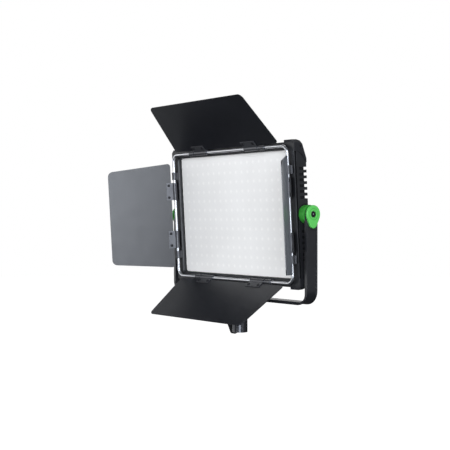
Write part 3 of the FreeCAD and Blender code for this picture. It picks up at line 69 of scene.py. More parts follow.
class Shader:
    """One node material. Pattern sizes are in metres, and lie still on the piece."""

    # Ramp stops over the cosine between a rounded edge's normal and the flat one, for the lighter edges that are
    # partly wear and partly a painted highlight.
    EDGE_WEAR_AND_HIGHLIGHT = [(0.86, 1.0), (0.985, 0.0)]
    # Ramp stops over the share of open air round a point.
    OPEN_AIR = [(0.35, 0.0), (0.85, 1.0)]

    def __init__(self, name, metallic=0.0, coat=0.0):
        self.material = bpy.data.materials.new(name)
        self.material.use_nodes = True
        self.tree = self.material.node_tree
        self.surface = self.tree.nodes["Principled BSDF"]
        self.place = self.node("ShaderNodeTexCoord").outputs["Object"]
        self.relief = None
        self.set("Metallic", metallic)
        self.set("Coat Weight", coat)

    def node(self, kind, **settings):
        """A new node of a kind, with its settings."""
        made = self.tree.nodes.new(kind)
        for key, setting in settings.items():
            setattr(made, key, setting)
        return made

    def feed(self, target, source):
        """Gives an input a socket, a number or a colour."""
        if isinstance(source, bpy.types.NodeSocket):
            self.tree.links.new(source, target)
        elif hasattr(source, "__len__") and len(source) == 3 and target.type == "RGBA":
            target.default_value = (*source, 1.0)
        elif source is not None:
            target.default_value = source

    def set(self, name, source):
        """Gives the surface's input of that name a socket, a number or a colour."""
        self.feed(self.surface.inputs[name], source)

    def mapped(self, scale=(1, 1, 1), place=(0, 0, 0), turn=(0, 0, 0)):
        """The piece's coordinates seen from a frame at place, turned, with axes scaled."""
        inverse = self.node("ShaderNodeMapping", vector_type="TEXTURE")
        self.feed(inverse.inputs["Vector"], self.place)
        inverse.inputs["Location"].default_value = place
        inverse.inputs["Rotation"].default_value = turn
        stretch = self.node("ShaderNodeMapping")
        self.feed(stretch.inputs["Vector"], inverse.outputs["Vector"])
        stretch.inputs["Scale"].default_value = scale
        return stretch.outputs["Vector"]

    def noise(self, size, detail=3.0, roughness=0.55, place=None):
        """Noise from 0 to 1 whose lumps are about size metres across."""
        texture = self.node("ShaderNodeTexNoise")
        texture.inputs["Scale"].default_value = 1.0 / size
        texture.inputs["Detail"].default_value = detail
        texture.inputs["Roughness"].default_value = roughness
        self.feed(texture.inputs["Vector"], place or self.place)
        return texture.outputs["Fac"]

    def streaks(self, per_metre, detail):
        """Noise drawn out along the axes that have few lumps to the metre."""
        return self.noise(1.0, detail, place=self.mapped(scale=per_metre))

    def cells(self, size):
        """Distance from the nearest of many scattered points, for pits and grains."""
        texture = self.node("ShaderNodeTexVoronoi")
        texture.inputs["Scale"].default_value = 1.0 / size
        self.feed(texture.inputs["Vector"], self.place)
        return texture.outputs["Distance"]

    def ramp(self, factor, stops):
        """A ramp through (position, grey or colour) stops."""
        ramp = self.node("ShaderNodeValToRGB")
        elements = ramp.color_ramp.elements
        for i, (position, tone) in enumerate(stops):
            element = elements[i] if i < 2 else elements.new(position)
            element.position = position
            element.color = (*(tone if hasattr(tone, "__len__") else grey(tone)), 1.0)
        self.feed(ramp.inputs["Fac"], factor)
        return ramp.outputs["Color"]

    def mix(self, factor, first, second):
        """The first colour where the factor is 0, and the second where it is 1."""
        mixer = self.node("ShaderNodeMix", data_type="RGBA")
        sockets = {socket.identifier: socket for socket in mixer.inputs}
        self.feed(sockets["Factor_Float"], factor)
        self.feed(sockets["A_Color"], first)
        self.feed(sockets["B_Color"], second)
        return [out for out in mixer.outputs if out.identifier == "Result_Color"][0]

    def maths(self, operation, *terms):
        """A sum, product or other operation on sockets and numbers."""
        step = self.node("ShaderNodeMath", operation=operation)
        for target, term in zip(step.inputs, terms):
            self.feed(target, term)
        return step.outputs[0]

    def edges(self, radius):
        """1 along the piece's edges within about radius metres, 0 on its flats."""
        softened = self.node("ShaderNodeBevel", samples=4)
        softened.inputs["Radius"].default_value = radius
        straight = self.node("ShaderNodeNewGeometry")
        compare = self.node("ShaderNodeVectorMath", operation="DOT_PRODUCT")
        self.feed(compare.inputs[0], softened.outputs["Normal"])
        self.feed(compare.inputs[1], straight.outputs["Normal"])
        return self.ramp(compare.outputs["Value"], self.EDGE_WEAR_AND_HIGHLIGHT)

    def corners(self, reach):
        """0 in the piece's inner corners and gaps within about reach metres, 1 in the open."""
        shut_in = self.node("ShaderNodeAmbientOcclusion", samples=8)
        shut_in.inputs["Distance"].default_value = reach
        return self.ramp(shut_in.outputs["AO"], self.OPEN_AIR)

    def bump(self, height, depth):
        """Adds relief about depth metres high to the relief that is there already."""
        bump = self.node("ShaderNodeBump")
        bump.inputs["Distance"].default_value = depth
        self.feed(bump.inputs["Height"], height)
        self.feed(bump.inputs["Normal"], self.relief)
        self.relief = bump.outputs["Normal"]
        self.set("Normal", self.relief)


COLOUR_PATCHES = 55 * MM
GLOSS_PATCHES = 19 * MM
EDGE_PATCHES = 3.5 * MM
# Painted shade in corners and gaps: how much darker the colour is made, and the roughness and shine there and in
# the open.
PAINTED_SHADE_TONE = -0.75
PAINTED_SHADE_ROUGHNESS = grey(0.75)
PAINTED_SHADE_SPECULAR = grey(0.12)
UNSHADED_SPECULAR = grey(0.5)


def grained(name, colour, rough, grain, depth, wear_and_highlight=None, wear_and_highlight_width=0.5 * MM, metallic=0.0,
            coat=0.0, drift=0.18, smudge=0.07, painted_shade_reach=None):
    """A surface with fine grain, broad colour drift, uneven gloss, lighter edges that are partly wear
    and partly a painted highlight, and painted shade in its corners. Grain, depth, the edges' width
    and the shade's reach are lengths, drift is a share of the colour, smudge is a change of
    roughness, and the edge colour is the lighter edges' colour."""
    shader = Shader(name, metallic, coat)
    broad = shader.noise(COLOUR_PATCHES, detail=4.0)
    base = shader.ramp(broad, [(0.32, tinted(colour, -drift)), (0.68, tinted(colour, drift))])
    patches = shader.noise(GLOSS_PATCHES, detail=6.0, roughness=0.65)
    gloss = shader.ramp(patches, [(0.3, rough - smudge), (0.7, rough + smudge)])
    # Lighter edges: partly wear, and partly a painted highlight along them.
    if wear_and_highlight:
        broken = shader.ramp(shader.noise(EDGE_PATCHES, detail=5.0, roughness=0.7),
                             [(0.42, 0.0), (0.62, 1.0)])
        mask = shader.maths("MULTIPLY", shader.edges(wear_and_highlight_width), broken)
        base = shader.mix(mask, base, wear_and_highlight)
    # Painted shade: inner corners and gaps are made darker, rougher and less shiny.
    if painted_shade_reach:
        open_air = shader.corners(painted_shade_reach)
        base = shader.mix(open_air, tinted(colour, PAINTED_SHADE_TONE), base)
        gloss = shader.mix(open_air, PAINTED_SHADE_ROUGHNESS, gloss)
        shader.set("Specular IOR Level", shader.mix(open_air, PAINTED_SHADE_SPECULAR, UNSHADED_SPECULAR))
    shader.set("Base Color", base)
    shader.set("Roughness", gloss)
    shader.bump(shader.noise(grain, detail=2.0), depth)
    return shader


# Materials: one function for each slot of the record, and for the detail pieces' own ----------

def yoke_paint():
    """Powder coat: a fine orange-peel, with edges lightened partly as rubbed wear and partly as a
    painted highlight, and painted shade in its corners.
    """
    shader = grained("yoke_paint", (0.012, 0.0125, 0.015), rough=0.36, grain=1.1 * MM,
                     depth=0.05 * MM, wear_and_highlight=(0.16, 0.16, 0.17), painted_shade_reach=4 * MM)
    shader.bump(shader.noise(0.35 * MM, detail=1.0), 0.015 * MM)
    return shader.material


def socket_black():
    """Black anodised and turned: rings round the upright axis."""
    shader = grained("socket_black", (0.045, 0.046, 0.052), rough=0.2, grain=0.5 * MM,
                     depth=0.002 * MM, wear_and_highlight=(0.2, 0.2, 0.21), wear_and_highlight_width=0.4 * MM,
                     metallic=0.6, smudge=0.04)
    shader.bump(shader.streaks((4, 4, 2600), detail=1.0), 0.004 * MM)
    return shader.material


def steel():
    return grained("steel", (0.45, 0.45, 0.46), rough=0.3, grain=0.4 * MM, depth=0.006 * MM,
                   metallic=1.0, drift=0.1).material


def black_screw():
    """Black oxide, a little bare where a tool has touched it."""
    shader = grained("black_screw", (0.010, 0.010, 0.012), rough=0.55, grain=0.3 * MM,
                     depth=0.006 * MM, wear_and_highlight=(0.10, 0.10, 0.11), wear_and_highlight_width=0.3 * MM)
    shader.set("Specular IOR Level", 0.25)
    return shader.material


def knob_black():
    return grained("knob_black", (0.014, 0.014, 0.016), rough=0.3, grain=0.5 * MM,
                   depth=0.02 * MM, wear_and_highlight=(0.05, 0.05, 0.052), coat=0.15).material


def green_plastic():
    """Bright moulded plastic, a little paler where it is rubbed."""
    shader = grained("green_plastic", (0.115, 0.56, 0.105), rough=0.36, grain=0.45 * MM,
                     depth=0.012 * MM, wear_and_highlight=(0.26, 0.82, 0.24), wear_and_highlight_width=0.6 * MM, drift=0.06)
    shader.set("Subsurface Weight", 0.06)
    shader.set("Subsurface Radius", (0.3 * MM, 1.2 * MM, 0.3 * MM))
    shader.set("Subsurface Scale", 1.0)
    return shader.material


def green_rubber():
    return grained("green_rubber", (0.035, 0.30, 0.03), rough=0.55, grain=0.4 * MM,
                   depth=0.02 * MM).material


def housing_plastic():
    """Spark-textured black moulding, with painted shade in its corners."""
    shader = grained("housing_plastic", (0.011, 0.0115, 0.0135), rough=0.44, grain=0.9 * MM,
                     depth=0.045 * MM, wear_and_highlight=(0.10, 0.10, 0.11), painted_shade_reach=5 * MM)
    shader.bump(shader.cells(0.45 * MM), 0.02 * MM)
    return shader.material


def bumper_rubber():
    """Satin rubber with faint dusty scuffs."""
    shader = grained("bumper_rubber", (0.014, 0.0145, 0.017), rough=0.48, grain=0.7 * MM,
                     depth=0.03 * MM, wear_and_highlight=(0.08, 0.08, 0.085), wear_and_highlight_width=0.7 * MM)
    scuffs = shader.noise(4 * MM, detail=6.0, roughness=0.75, place=shader.mapped(scale=(1, 6, 1)))
    shader.set("Specular IOR Level", shader.ramp(scuffs, [(0.45, 0.3), (0.75, 0.55)]))
    return shader.material


LED_PITCH_ACROSS = 14.56 * MM
LED_PITCH_UP = 15.4 * MM
OPTIC_CENTRE_HEIGHT = 0.4 * MM
DIFFUSER_GLOW = 0.05
LED_DOT_GLOW = 0.075
# Brightness over the distance from an LED, in pitches.
LED_DOT_FADE = [(0.07, 1.0), (0.15, 0.4), (0.27, 0.0)]


def diffuser():
    """Milky acrylic with the LED grid glowing faintly through it."""
    shader = Shader("diffuser")
    head_place = shader.mapped(place=TILT_CENTRE, turn=(REST_TILT, 0, 0))
    axes = shader.node("ShaderNodeSeparateXYZ")
    shader.feed(axes.inputs[0], head_place)
    squares = []
    for axis, pitch, middle in (("X", LED_PITCH_ACROSS, 0.0),
                                ("Z", LED_PITCH_UP, OPTIC_CENTRE_HEIGHT)):
        from_middle = shader.maths("SUBTRACT", axes.outputs[axis], middle)
        steps = shader.maths("DIVIDE", from_middle, pitch)
        offset = shader.maths("SUBTRACT", shader.maths("FRACT", steps), 0.5)
        squares.append(shader.maths("MULTIPLY", offset, offset))
    away = shader.maths("SQRT", shader.maths("ADD", *squares))
    dots = shader.ramp(away, LED_DOT_FADE)
    cloud = shader.noise(60 * MM, detail=2.0)
    tone = shader.ramp(cloud, [(0.3, (0.78, 0.76, 0.73)), (0.7, (0.82, 0.80, 0.77))])
    shader.set("Base Color", tone)
    satin = shader.noise(14 * MM, detail=5.0)
    shader.set("Roughness", shader.ramp(satin, [(0.3, 0.38), (0.7, 0.52)]))
    glow = shader.maths("MULTIPLY_ADD", dots, LED_DOT_GLOW, DIFFUSER_GLOW)
    shader.set("Emission Color", (1.0, 0.97, 0.92))
    shader.set("Emission Strength", glow)
    shader.bump(shader.noise(0.5 * MM, detail=2.0), 0.02 * MM)
    return shader.material


def white_plastic():
    return grained("white_plastic", (0.78, 0.78, 0.77), rough=0.5, grain=0.6 * MM,
                   depth=0.02 * MM, drift=0.04).material


def circuit_board():
    """White solder mask over faint copper tracks."""
    shader = grained("circuit_board", (0.72, 0.73, 0.70), rough=0.35, grain=0.3 * MM,
                     depth=0.004 * MM, drift=0.05)
    tracks = shader.node("ShaderNodeTexBrick")
    tracks.inputs["Scale"].default_value = 90.0
    tracks.inputs["Mortar Size"].default_value = 0.03
    shader.feed(tracks.inputs["Vector"], shader.mapped(turn=(math.pi / 2, 0, 0)))
    shader.bump(tracks.outputs["Fac"], 0.03 * MM)
    return shader.material


def led_phosphor():
    return grained("led_phosphor", (0.88, 0.70, 0.22), rough=0.4, grain=0.3 * MM,
                   depth=0.02 * MM).material


def heat_sink_metal():
    """Extruded aluminium with fine upright lines."""
    shader = grained("heat_sink_metal", (0.60, 0.60, 0.62), rough=0.34, grain=0.4 * MM,
                     depth=0.004 * MM, metallic=1.0, drift=0.06)
    shader.bump(shader.streaks((2500, 2500, 12), detail=2.0), 0.006 * MM)
    return shader.material


def brass():
    return grained("brass", (0.66, 0.48, 0.20), rough=0.28, grain=0.3 * MM, depth=0.006 * MM,
                   metallic=1.0).material


def component_plastic():
    return grained("component_plastic", (0.045, 0.045, 0.05), rough=0.45, grain=0.4 * MM,
                   depth=0.02 * MM).material


def wire_chrome():
    """Plated wire: bright, with a slow ripple and a few dull patches."""
    return grained("wire_chrome", (0.60, 0.61, 0.64), rough=0.33, grain=9.0 * MM,
                   depth=0.02 * MM, metallic=1.0, drift=0.05, smudge=0.05).material


def clip_metal():
    """Folded steel under a thin black lacquer, more metallic than the doors' paint."""
    return grained("clip_metal", (0.072, 0.073, 0.079), rough=0.34, grain=0.6 * MM,
                   depth=0.01 * MM, wear_and_highlight=(0.20, 0.20, 0.21), wear_and_highlight_width=0.35 * MM,
                   metallic=0.55).material


def door_paint():
    """Satin paint on sheet: fine texture, handling marks, and a pale sheen seen along it."""
    shader = grained("door_paint", (0.008, 0.0085, 0.011), rough=0.31, grain=0.5 * MM,
                     depth=0.008 * MM, wear_and_highlight=(0.09, 0.09, 0.10), wear_and_highlight_width=0.3 * MM,
                     drift=0.1, smudge=0.02)
    marks = shader.noise(1.0, detail=5.0, roughness=0.6, place=shader.mapped(scale=(28, 28, 9)))
    shader.set("Specular IOR Level", shader.ramp(marks, [(0.3, 0.49), (0.75, 0.53)]))
    shader.set("Sheen Weight", 0.22)
    shader.set("Sheen Roughness", 0.2)
    shader.set("Sheen Tint", (0.9, 0.94, 1.0))
    return shader.material


def plate_plastic():
    # Its corners and gaps get painted shade.
    return grained("plate_plastic", (0.017, 0.017, 0.019), rough=0.42, grain=0.8 * MM,
                   depth=0.035 * MM, wear_and_highlight=(0.07, 0.07, 0.073), wear_and_highlight_width=0.4 * MM,
                   painted_shade_reach=2 * MM).material


def contact_gold():
    return grained("contact_gold", (0.83, 0.62, 0.25), rough=0.22, grain=0.3 * MM,
                   depth=0.004 * MM, metallic=1.0).material


def panel_plastic():
    return grained("panel_plastic", (0.013, 0.013, 0.015), rough=0.3, grain=0.5 * MM,
                   depth=0.008 * MM, wear_and_highlight=(0.05, 0.05, 0.053), wear_and_highlight_width=0.4 * MM,
                   coat=0.2).material


def display_glass():
    """A clear cover with finger smears."""
    shader = Shader("display_glass")
    shader.set("Base Color", shader.ramp(shader.noise(12 * MM), [(0.3, (0.85, 0.9, 0.92)),
                                                                (0.7, (0.92, 0.96, 0.97))]))
    shader.set("Transmission Weight", 0.95)
    shader.set("IOR", 1.46)
    smears = shader.noise(5 * MM, detail=5.0, roughness=0.7)
    shader.set("Roughness", shader.ramp(smears, [(0.45, 0.0), (0.75, 0.06)]))
    shader.bump(smears, 0.002 * MM)
    return shader.material


def dial_plastic():
    # Its corners and gaps get painted shade.
    return grained("dial_plastic", (0.02, 0.02, 0.022), rough=0.48, grain=0.5 * MM,
                   depth=0.02 * MM, wear_and_highlight=(0.075, 0.075, 0.08), wear_and_highlight_width=0.35 * MM,
                   painted_shade_reach=1.5 * MM).material


def key_plastic():
    return grained("key_plastic", (0.045, 0.045, 0.05), rough=0.36, grain=0.5 * MM,
                   depth=0.012 * MM, wear_and_highlight=(0.12, 0.12, 0.125), wear_and_highlight_width=0.35 * MM).material


def latch_green():
    return grained("latch_green", (0.07, 0.55, 0.055), rough=0.36, grain=0.45 * MM,
                   depth=0.012 * MM, wear_and_highlight=(0.2, 0.75, 0.17), wear_and_highlight_width=0.4 * MM,
                   drift=0.07).material


def screen_dark():
    """The display's unlit face."""
    return grained("screen_dark", (0.010, 0.014, 0.018), rough=0.25, grain=0.3 * MM,
                   depth=0.002 * MM).material


def screen_lit():
    """Lit segments of slightly uneven brightness."""
    shader = Shader("screen_lit")
    flicker = shader.ramp(shader.noise(3 * MM), [(0.3, (0.30, 0.75, 0.85)),
                                                 (0.7, (0.5, 0.95, 1.0))])
    shader.set("Base Color", flicker)
    shader.set("Emission Color", flicker)
    shader.set("Emission Strength", 0.9)
    shader.set("Roughness", shader.ramp(shader.noise(2 * MM), [(0.3, 0.3), (0.7, 0.5)]))
    shader.bump(shader.noise(0.4 * MM), 0.005 * MM)
    return shader.material


def mark_white():
    """Pad-printed white marks."""
    return grained("mark_white", (0.72, 0.72, 0.71), rough=0.5, grain=0.25 * MM,
                   depth=0.006 * MM, drift=0.06).material


MAKERS = [yoke_paint, socket_black, steel, black_screw, knob_black, green_plastic,
          green_rubber, housing_plastic, bumper_rubber, diffuser, white_plastic, circuit_board,
          led_phosphor, heat_sink_metal, brass, component_plastic, wire_chrome, clip_metal,
          door_paint, plate_plastic, contact_gold, panel_plastic, display_glass, dial_plastic,
          key_plastic, latch_green, screen_dark, screen_lit, mark_white]
MATERIALS = {maker.__name__: maker() for maker in MAKERS}


# Edge rounding -------------------------------------------------------------------------------

# The width of the rounding on each slot's edges. The other slots keep theirs sharp.
EDGE_SOFTENING = {
    "yoke_paint": 0.7 * MM, "socket_black": 0.5 * MM, "knob_black": 0.5 * MM,
    "housing_plastic": 0.5 * MM, "bumper_rubber": 0.5 * MM, "clip_metal": 0.22 * MM,
    "door_paint": 0.25 * MM, "plate_plastic": 0.3 * MM, "panel_plastic": 0.25 * MM,
    "steel": 0.25 * MM, "black_screw": 0.25 * MM, "key_plastic": 0.2 * MM,
    "green_rubber": 0.4 * MM, "latch_green": 0.25 * MM, "component_plastic": 0.3 * MM,
}
ROUNDING_STEPS = 2
SHARP_ANGLE = math.radians(35)
FLAT_ANGLE = math.radians(0.5)
SAME_POINT = 0.001 * MM


def joining_nodes():
    """Geometry nodes that join doubled vertices and let the shading be worked out afresh."""
    group = bpy.data.node_groups.new("join_faces", "GeometryNodeTree")
    for direction in ("INPUT", "OUTPUT"):
        group.interface.new_socket("Geometry", in_out=direction,
                                   socket_type="NodeSocketGeometry")
    forget = group.nodes.new("GeometryNodeRemoveAttribute")
    forget.inputs["Name"].default_value = "custom_normal"
    join = group.nodes.new("GeometryNodeMergeByDistance")
    join.inputs["Distance"].default_value = SAME_POINT
    steps = [group.nodes.new("NodeGroupInput"), forget, join,
             group.nodes.new("GeometryNodeSetShadeSmooth"), group.nodes.new("NodeGroupOutput")]
    for first, second in zip(steps, steps[1:]):
        group.links.new(first.outputs[0], second.inputs[0])
    return group


JOINING = joining_nodes()


def add_rounding(piece, width):
    """A modifier that rounds a piece's edges."""
    bevel = piece.modifiers.new("Round edges", "BEVEL")
    bevel.width = width
    bevel.segments = ROUNDING_STEPS
    return bevel


def soften_edges(piece, width):
    """Rounds a piece's sharp edges with modifiers, and leaves its own mesh as it is."""
    piece.modifiers.new("Join faces", "NODES").node_group = JOINING
    flats = piece.modifiers.new("Merge flats", "DECIMATE")
    flats.decimate_type = "DISSOLVE"
    flats.angle_limit = FLAT_ANGLE
    bevel = add_rounding(piece, width)
    bevel.limit_method = "ANGLE"
    bevel.angle_limit = SHARP_ANGLE
    piece.modifiers.new("Even shading", "WEIGHTED_NORMAL")


def finish_nodes():
    """Gives each CAD node its slot's material, and rounds its edges if the slot has a width."""
    for name, node in frame["nodes"].items():
        node.data.materials.clear()
        node.data.materials.append(MATERIALS[SLOTS[name]])
        if SLOTS[name] in EDGE_SOFTENING:
            soften_edges(node, EDGE_SOFTENING[SLOTS[name]])


finish_nodes()


# Detail pieces, built in the head's frame ----------------------------------------------------

# Printed marks stand a little proud of their surface, and reach a little into it.
MARK_HEIGHT = 0.10 * MM
MARK_SINK = 0.05 * MM
RING_STEPS = 64
KEY_RING_STEPS = 40
UNIT = Matrix.Identity(4)


def head_box(node):
    """A CAD node's lowest and highest corners at rest, in the head's frame."""
    inverse = HEAD.inverted()
    corners = [inverse @ vertex.co for vertex in frame["nodes"][node].data.vertices]
    return (Vector(map(min, zip(*corners))), Vector(map(max, zip(*corners))))


def rear_middle(low, high):
    """The x and z of the middle of a box."""
    return (low.x + high.x) / 2, (low.z + high.z) / 2


def side_reach(node, side):
    """How far a CAD node reaches out of the head, to its right (side 1) or its left (-1)."""
    low, high = head_box(node)
    return high.x if side > 0 else -low.x


def face_place(node, x, z):
    """Where the node's rear surface is at x and z: a frame with Y out of the surface."""
    inverse = HEAD.inverted()
    mesh = frame["nodes"][node].data
    tree = BVHTree.FromPolygons([inverse @ vertex.co for vertex in mesh.vertices],
                                [polygon.vertices[:] for polygon in mesh.polygons])
    well_behind, forward = Vector((x, 1.0, z)), Vector((0, -1, 0))
    hit, normal, _, _ = tree.ray_cast(well_behind, forward)
    if normal.y < 0:
        normal = -normal
    tip = Vector((0, 1, 0)).rotation_difference(normal)
    return Matrix.Translation(hit) @ tip.to_matrix().to_4x4()


def add_block(mesh, low, high, place=UNIT, turn=0.0):
    """Adds a box between two corners, turned about the place's Y axis."""
    middle, sides = (Vector(low) + Vector(high)) / 2, Vector(high) - Vector(low)
    turned = place @ Matrix.Rotation(turn, 4, "Y")
    for vertex in bmesh.ops.create_cube(mesh, size=1.0)["verts"]:
        vertex.co = turned @ Vector([middle[i] + vertex.co[i] * sides[i] for i in range(3)])


def add_turned_ring(mesh, profile, place, steps):
    """Adds a closed ring by turning (radius, height) points about the place's Y axis."""
    loops = []
    for i in range(steps):
        turn = 2 * math.pi * i / steps
        loops.append([mesh.verts.new(place @ Vector((radius * math.cos(turn), height,
                                                     radius * math.sin(turn))))
                      for radius, height in profile])
    for near, far in zip(loops, loops[1:] + loops[:1]):
        for i in range(len(profile)):
            following = (i + 1) % len(profile)
            mesh.faces.new((near[i], near[following], far[following], far[i]))


def add_printed_bar(mesh, half_width, start, end, place, turn=0.0):
    """Adds a flat bar that runs from start to end along the place's Z axis."""
    add_block(mesh, (-half_width, -MARK_SINK, start), (half_width, MARK_HEIGHT, end), place, turn)


def add_printed_ring(mesh, inner, outer, place, steps=RING_STEPS):
    """Adds a flat ring between two radii."""
    add_turned_ring(mesh, [(inner, -MARK_SINK), (outer, -MARK_SINK), (outer, MARK_HEIGHT),
                           (inner, MARK_HEIGHT)], place, steps)


def add_piece(name, mesh, slot, body, edge=0.0):
    """Finishes a mesh made in the head's frame, and lets it ride on a body."""
    mesh.transform(HEAD)
    bmesh.ops.recalc_face_normals(mesh, faces=mesh.faces[:])
    data = bpy.data.meshes.new(name)
    mesh.to_mesh(data)
    mesh.free()
    data.materials.append(MATERIALS[slot])
    piece = bpy.data.objects.new(name, data)
    bpy.context.scene.collection.objects.link(piece)
    if edge:
        add_rounding(piece, edge)
    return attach(piece, body)


def add_level_bars(low, high, face):
    """Two rows of bars on the screen, whose corners and face are given, the first few lit."""
    bar_count, lit_counts = 14, (("upper", 10), ("lower", 6))
    margin, bar_share, bar_height, row_pitch = 4.0 * MM, 0.62, 5.0 * MM, 1.8
    pitch = (high.x - low.x - 2 * margin) / bar_count
    for row, (word, lit_count) in enumerate(lit_counts):
        middle = (low.z + high.z) / 2 + (0.5 - row) * row_pitch * bar_height
        for state, slot, chosen in (("lit", "screen_lit", range(lit_count)),
                                    ("unlit", "key_plastic", range(lit_count, bar_count))):
            mesh = bmesh.new()
            for i in chosen:
                start = high.x - margin - i * pitch
                add_block(mesh, (start - bar_share * pitch, face - MARK_SINK,
                                 middle - bar_height / 2),
                          (start, face + MARK_HEIGHT, middle + bar_height / 2))
            add_piece(f"{word}_level_{state}", mesh, slot, "head")


def add_display():
    """A screen in its dark mask behind the window, with two rows of level bars."""
    low, high = head_box("display_module")
    window_front = head_box("display_window")[0].y
    mask_width, sunk, glass_gap, mask_edge = 2.2 * MM, 0.3 * MM, 0.4 * MM, 0.12 * MM
    top = window_front - glass_gap
    mesh = bmesh.new()
    add_block(mesh, low, (high.x, top, high.z))
    mesh.normal_update()
    face = max(mesh.faces, key=lambda side: side.calc_center_median().y)
    bmesh.ops.inset_region(mesh, faces=[face], thickness=mask_width)
    bmesh.ops.translate(mesh, verts=face.verts, vec=(0, -sunk, 0))
    face.material_index = 1
    screen = add_piece("display_screen", mesh, "component_plastic", "head", mask_edge)
    screen.data.materials.append(MATERIALS["screen_dark"])
    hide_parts("display_module")
    add_level_bars(low, high, top - sunk)


def add_dial_marks():
    """A scale of ticks round each dial, and a pointer and a ring on its crown."""
    tick_count, long_every, sweep = 21, 5, math.radians(300)
    tick_half_width, tick_gap, short_tick, long_tick = 0.2 * MM, 1.5 * MM, 1.2 * MM, 2.2 * MM
    pointer_half_width, pointer_edge = 0.45 * MM, 0.04 * MM
    # In dial radii.
    pointer_start, pointer_end, ring_inner, ring_outer = 0.35, 0.82, 0.22, 0.28
    panel_face = head_box("control_panel")[1].y
    for side, node, body in (("left", "brightness_dial", "brightness_control"),
                             ("right", "colour_dial", "colour_control")):
        low, high = head_box(node)
        middle_x, middle_z = rear_middle(low, high)
        radius = (high.x - low.x) / 2
        base = Matrix.Translation((middle_x, panel_face, middle_z))
        crown = Matrix.Translation((middle_x, high.y, middle_z))
        mesh = bmesh.new()
        start = radius + tick_gap
        for i in range(tick_count):
            turn = sweep * (i / (tick_count - 1) - 0.5)
            length = short_tick if i % long_every else long_tick
            add_printed_bar(mesh, tick_half_width, start, start + length, base, turn)
        add_piece(f"{side}_dial_scale", mesh, "mark_white", "head")
        mesh = bmesh.new()
        add_printed_bar(mesh, pointer_half_width, pointer_start * radius, pointer_end * radius,
                        crown)
        add_piece(f"{side}_dial_pointer", mesh, "mark_white", body, pointer_edge)
        mesh = bmesh.new()
        add_printed_ring(mesh, ring_inner * radius, ring_outer * radius, crown)
        add_piece(f"{side}_dial_ring", mesh, "mark_white", body)


def add_key_marks():
    """A ring on the mode key, and three lines on the menu key."""
    ring_inner, ring_outer = 1.1 * MM, 1.55 * MM
    line_pitch, line_half_length, line_half_width = 1.0 * MM, 1.8 * MM, 0.22 * MM
    for name, node, body in (("mode_mark", "mode_button", "mode_key"),
                             ("menu_mark", "menu_button", "menu_key")):
        place = face_place(node, *rear_middle(*head_box(node)))
        mesh = bmesh.new()
        if name == "menu_mark":
            for step in (-1, 0, 1):
                height = step * line_pitch
                add_printed_bar(mesh, line_half_length, height - line_half_width,
                                height + line_half_width, place)
        else:
            add_printed_ring(mesh, ring_inner, ring_outer, place, KEY_RING_STEPS)
        add_piece(name, mesh, "mark_white", body)


def add_rocker_marks():
    """A ring at the rocker's lower end and a bar at its upper end."""
    ring_inner, ring_outer = 1.0 * MM, 1.4 * MM
    bar_half_width, bar_half_length, from_middle = 0.22 * MM, 1.4 * MM, 5.2 * MM
    middle_x, middle_z = rear_middle(*head_box("power_rocker"))
    mesh = bmesh.new()
    add_printed_ring(mesh, ring_inner, ring_outer,
                     face_place("power_rocker", middle_x, middle_z - from_middle),
                     KEY_RING_STEPS)
    add_printed_bar(mesh, bar_half_width, -bar_half_length, bar_half_length,
                    face_place("power_rocker", middle_x, middle_z + from_middle))
    add_piece("rocker_marks", mesh, "mark_white", "power_key")


def add_knob_details():
    """A dark ring round each tilt knob's middle, painted shade that stands for a groove, and the
    bright pin in its screw's socket.
    """
    ring_radius, ring_half_width = 8.6 * MM, 0.35 * MM
    ring_rim_height, ring_height, ring_steps = 0.02 * MM, 0.06 * MM, 96
    pin_bore, pin_radius, pin_height, pin_steps = 0.05 * MM, 1.0 * MM, 0.9 * MM, 32
    # Where the pin's chamfer starts, as a share of its radius and of its height, and how high
    # the tip rises, as a share of its height.
    pin_chamfer, pin_tip = 0.75, 1.05
    socket_depth = 1.0 * MM
    outer, inner = ring_radius + ring_half_width, ring_radius - ring_half_width
    for side, word in ((-1, "left"), (1, "right")):
        outward = Matrix.Rotation(-side * math.pi / 2, 4, "Z")
        knob_face = side_reach(f"tilt_knob_{word}", side)
        place = Matrix.Translation((side * knob_face, 0, 0)) @ outward
        mesh = bmesh.new()
        # The dark ring is painted shade in place of a groove.
        add_turned_ring(mesh, [(inner, -MARK_SINK), (outer, -MARK_SINK),
                               (outer, ring_rim_height), (ring_radius, ring_height),
                               (inner, ring_rim_height)], place, ring_steps)
        add_piece(f"knob_groove_shade_{word}", mesh, "green_rubber", f"{word}_knob")
        socket_floor = side_reach(f"tilt_screw_{word}", side) - socket_depth
        place = Matrix.Translation((side * socket_floor, 0, 0)) @ outward
        mesh = bmesh.new()
        add_turned_ring(mesh, [(pin_bore, -MARK_SINK), (pin_radius, -MARK_SINK),
                               (pin_radius, pin_chamfer * pin_height),
                               (pin_chamfer * pin_radius, pin_height),
                               (pin_bore, pin_tip * pin_height)], place, pin_steps)
        add_piece(f"screw_pin_{word}", mesh, "steel", f"{word}_knob")


add_display()
add_dial_marks()
add_key_marks()
add_rocker_marks()
add_knob_details()


# Camera, light and floor --------------------------------------------------------------------

CAMERA_PLACE = Vector((1.2012, -1.0063, 0.1867))
CAMERA_TURN = math.radians(50.95)
CAMERA_DIP = math.radians(0.38)
CAMERA_REACH = 60.0
# The lens's focal length and the sensor's width are in millimetres.
CAMERA_LENS = 76.0
CAMERA_SENSOR_WIDTH = 36.0

SUBJECT = Vector((0.0, -0.03, 0.19))
WHITE = (1.0, 1.0, 1.0)
COOL_WHITE = (0.94, 0.97, 1.0)
KEY_WHITE = (0.87, 0.92, 1.0)
